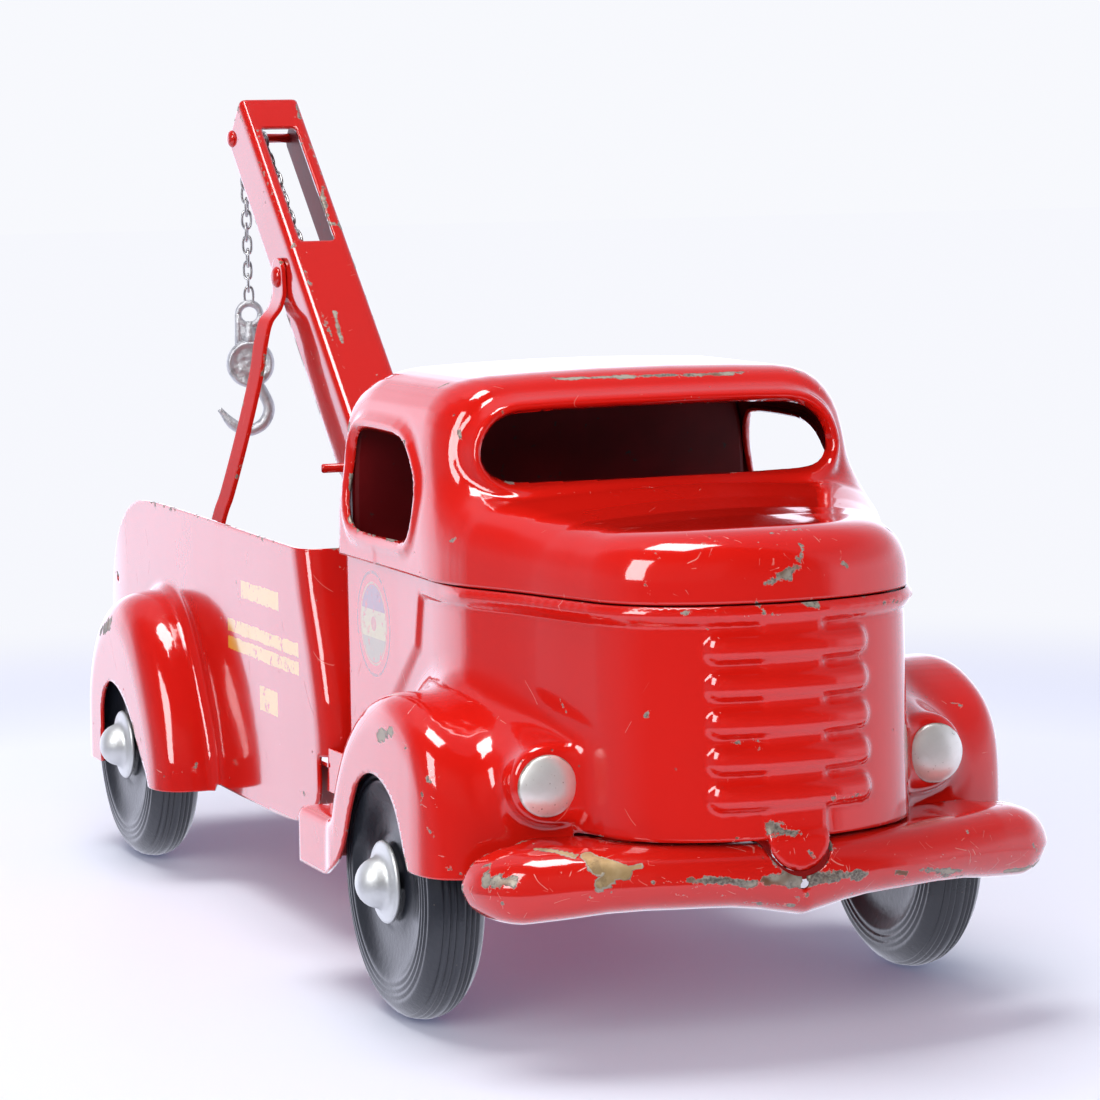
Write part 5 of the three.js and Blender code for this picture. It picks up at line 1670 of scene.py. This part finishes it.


# the far faces of the sheets get the darkened red, painted shade for the inside of the body
dress(lower, RED_LOWER, INSIDE_SHADED)
dress(upper, RED, INSIDE_SHADED)
for piece in (bumper, boom):
    dress(piece, RED_WORN, INSIDE_SHADED)
for piece in bed_parts.values():
    dress(piece, RED_BED, INSIDE_SHADED)
# the back wall's main face gets the painted-shade red, and the far face of its sheet the plain
# red
dress(back_wall, INSIDE_SHADED, RED)
PAINTED_RIVETS = ("boom_tip_pin", "brace_top_rivet_right", "brace_top_rivet_left")
for node, piece in rivets.items():
    dress(piece, RED_WORN if node in PAINTED_RIVETS else RIVET)
for pieces, material in (
        ((boom_foot, winch), RED_WORN), (braces.values(), STRAP), (chains, CHAIN),
        ((hook,), CAST), (tyres.values(), RUBBER), (caps.values(), ALUMINIUM),
        (lamps.values(), NICKEL), (axles.values(), AXLE_STEEL), (tail_plates, RED)):
    for piece in pieces:
        dress(piece, material)
for name in ("chassis_frame", "bed_floor"):
    dress(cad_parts[name], RED_BED)
    bevel(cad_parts[name], 0.35)
for piece in tail_plates:
    bevel(piece, 0.25)

# ------------------------------------------------------------------ floor
scene = bpy.context.scene


def floor_material():
    """pale floor that melts into the backdrop far away; near the truck a faint lavender glow is
    painted light that lifts and tints its shadows
    """
    graph = material_graph("pale_floor")
    soft = graph.noise(scale=3.0, detail=2, rough=0.5)
    fine = graph.noise(scale=900, detail=3, rough=0.6)
    dark, pale = (0.84, 0.86, 0.93), (0.865, 0.885, 0.95)
    shadow_lift_glow, far_glow = (0.46, 0.50, 0.90), (0.925, 0.935, 0.985)
    ground = graph.principled(Base_Color=soft.tint(dark, pale), Roughness=0.55,
                              Specular_IOR_Level=0.2,
                              Normal=graph.bump(fine, strength=0.05, distance=0.0002))
    x, y, _ = graph.split(graph.point)
    away = graph.math("SQRT", x ** 2.0 + y ** 2.0).rise(0.20, 0.62)
    glow = graph.add("ShaderNodeEmission", {"Color": away.tint(shadow_lift_glow, far_glow),
                                            "Strength": 1.0})
    # at least 0.16 of the floor is glow, so its shadows are lifted and tinted lavender: painted
    # light
    return graph.output(graph.add("ShaderNodeMixShader",
                                  {0: graph.max(0.16, away), 1: ground, 2: glow}))


def floor_mesh():
    """grid in metres, fine near the truck"""
    middle = np.linspace(-1, 1, 41)
    across = np.r_[np.linspace(-9, -1.2, 9), middle, np.linspace(1.2, 9, 9)]
    along = np.r_[np.linspace(-3, -1.2, 5), middle, np.linspace(1.3, 8, 9)]
    count = len(across)
    points = [(x, y, 0.0) for y in along for x in across]
    faces = [(j * count + i, j * count + i + 1, (j + 1) * count + i + 1, (j + 1) * count + i)
             for j in range(len(along) - 1) for i in range(count - 1)]
    return points, faces


floor = mesh_object("studio_floor", *floor_mesh(), mm=False)
dress(floor, floor_material())
floor.visible_glossy = False

# ------------------------------------------------------------------ world
# strength of the reflected surroundings: degrees, strength
# azimuth from +x through +y, so the front is at -90
AROUND = [(-180, 0.30), (-150, 0.12), (-65, 0.09), (-50, 0.16), (-42, 1.15), (0, 1.3),
          (50, 1.5), (72, 1.9), (128, 1.95), (140, 0.7), (150, 0.4), (180, 0.30)]
ELEVATION = [(-90, 0.30), (-40, 0.45), (-16, 0.85), (-6, 1.0), (9, 1.0), (20, 0.55),
             (40, 0.25), (90, 0.15)]
GROUND = [(-90, 0.75), (-45, 1.1), (-27, 1.15), (-20, 0.4), (-13, 0.0), (90, 0.0)]
CURVE_TOP = 10.0        # strength at the top of a curve's 0..1 range


def curve(value, points, full):
    """piecewise linear function of a value that runs -1..1 for -full..full degrees"""
    result = value.graph.add("ShaderNodeFloatCurve", {"Value": (value - -1.0) / 2.0})
    mapping = result.socket.node.mapping
    line = mapping.curves[0]
    for i, (degrees, strength) in enumerate(points):
        place = ((degrees / full + 1) / 2, strength / CURVE_TOP)
        if i < 2:
            line.points[i].location = place
        else:
            line.points.new(*place)
    for point in line.points:
        point.handle_type = "VECTOR"
    mapping.update()
    return result * CURVE_TOP


def studio_world():
    """separate backgrounds for the camera, for reflections and for soft light"""
    world = bpy.data.worlds.new("studio")
    graph = Graph(world)
    x, y, z = graph.split(graph.add("ShaderNodeTexCoord", {}, output="Generated"))
    azimuth = graph.math("ARCTAN2", y, x) / math.pi
    elevation = graph.math("ARCSINE", z) / (math.pi / 2)
    walls = curve(azimuth, AROUND, 180) * curve(elevation, ELEVATION, 90)
    reflected = graph.max(walls, curve(elevation, GROUND, 90))
    glossy_ray, camera_ray = graph.add("ShaderNodeLightPath", {},
                                       output=("Is Glossy Ray", "Is Camera Ray"))
    low, high = (0.935, 0.945, 0.985), (0.925, 0.94, 0.98)

    def background(colour, strength):
        return graph.add("ShaderNodeBackground", {"Color": colour, "Strength": strength})

    seen = background(z.rise(-0.05, 0.30).tint(low, high), strength=1.0)
    mirrored = background((0.84, 0.86, 1.02), strength=reflected)
    soft = background((0.90, 0.93, 1.0), strength=0.30)
    unseen = graph.add("ShaderNodeMixShader", {0: glossy_ray, 1: soft, 2: mirrored})
    mixed = graph.add("ShaderNodeMixShader", {0: camera_ray, 1: unseen, 2: seen})
    return graph.output(mixed, "ShaderNodeOutputWorld")


scene.world = studio_world()

# ------------------------------------------------------------------ lights
LIGHT_AIM = Vector((0, 0, 0.08))


def area_light(name, direction, distance, size, energy, colour, reflections_only):
    """rectangle aimed at the truck; it lights either reflections only or diffuse only"""
    light = bpy.data.lights.new(name, "AREA")
    light.shape = "RECTANGLE"
    light.size, light.size_y = size
    light.energy = energy
    light.color = colour
    lamp = bpy.data.objects.new(name, light)
    scene.collection.objects.link(lamp)
    direction = Vector(direction).normalized()
    lamp.location = LIGHT_AIM + direction * distance
    lamp.rotation_euler = direction.to_track_quat("Z", "Y").to_euler()
    lamp.visible_glossy = reflections_only
    lamp.visible_diffuse = not reflections_only


area_light("softbox_left", direction=(-0.75, -0.37, 0.50), distance=1.3, size=(0.40, 0.80),
           energy=10.0, colour=(0.97, 0.98, 1.0), reflections_only=True)
area_light("softbox_top", direction=(-0.10, -0.05, 1.0), distance=1.25, size=(0.50, 0.42),
           energy=9.0, colour=(0.98, 0.99, 1.0), reflections_only=True)
area_light("key_top", direction=(-0.12, 0.22, 1.0), distance=1.8, size=(1.1, 1.1),
           energy=29.0, colour=(1.0, 0.99, 0.99), reflections_only=False)
area_light("fill_front", direction=(-0.55, -1.0, 0.60), distance=1.8, size=(1.5, 1.0),
           energy=20.0, colour=(1.0, 0.985, 0.97), reflections_only=False)

# ------------------------------------------------------------------ camera
CAMERA_AT = Vector((-0.3437, -0.7852 - Y_SHIFT / 1000, 0.1974))
# yaw from +y towards +x, pitch downwards, roll about the view
CAMERA_YAW, CAMERA_PITCH, CAMERA_ROLL = (math.radians(a) for a in (21.936, 6.225, -0.960))


def add_camera():
    camera = bpy.data.objects.new("camera", bpy.data.cameras.new("camera"))
    scene.collection.objects.link(camera)
    camera.data.sensor_width = 36
    camera.data.lens = 121.885
    camera.data.clip_start, camera.data.clip_end = 0.05, 60
    view = Vector((math.sin(CAMERA_YAW) * math.cos(CAMERA_PITCH),
                   math.cos(CAMERA_YAW) * math.cos(CAMERA_PITCH), -math.sin(CAMERA_PITCH)))
    level = view.cross(Vector((0, 0, 1))).normalized()
    upright = level.cross(view)
    right = level * math.cos(CAMERA_ROLL) + upright * math.sin(CAMERA_ROLL)
    above = -level * math.sin(CAMERA_ROLL) + upright * math.cos(CAMERA_ROLL)
    placed = Matrix((right, above, -view)).transposed().to_4x4()
    placed.translation = CAMERA_AT
    camera.matrix_world = placed
    scene.camera = camera


add_camera()
scene.view_settings.view_transform = "Standard"
scene.view_settings.look = "None"
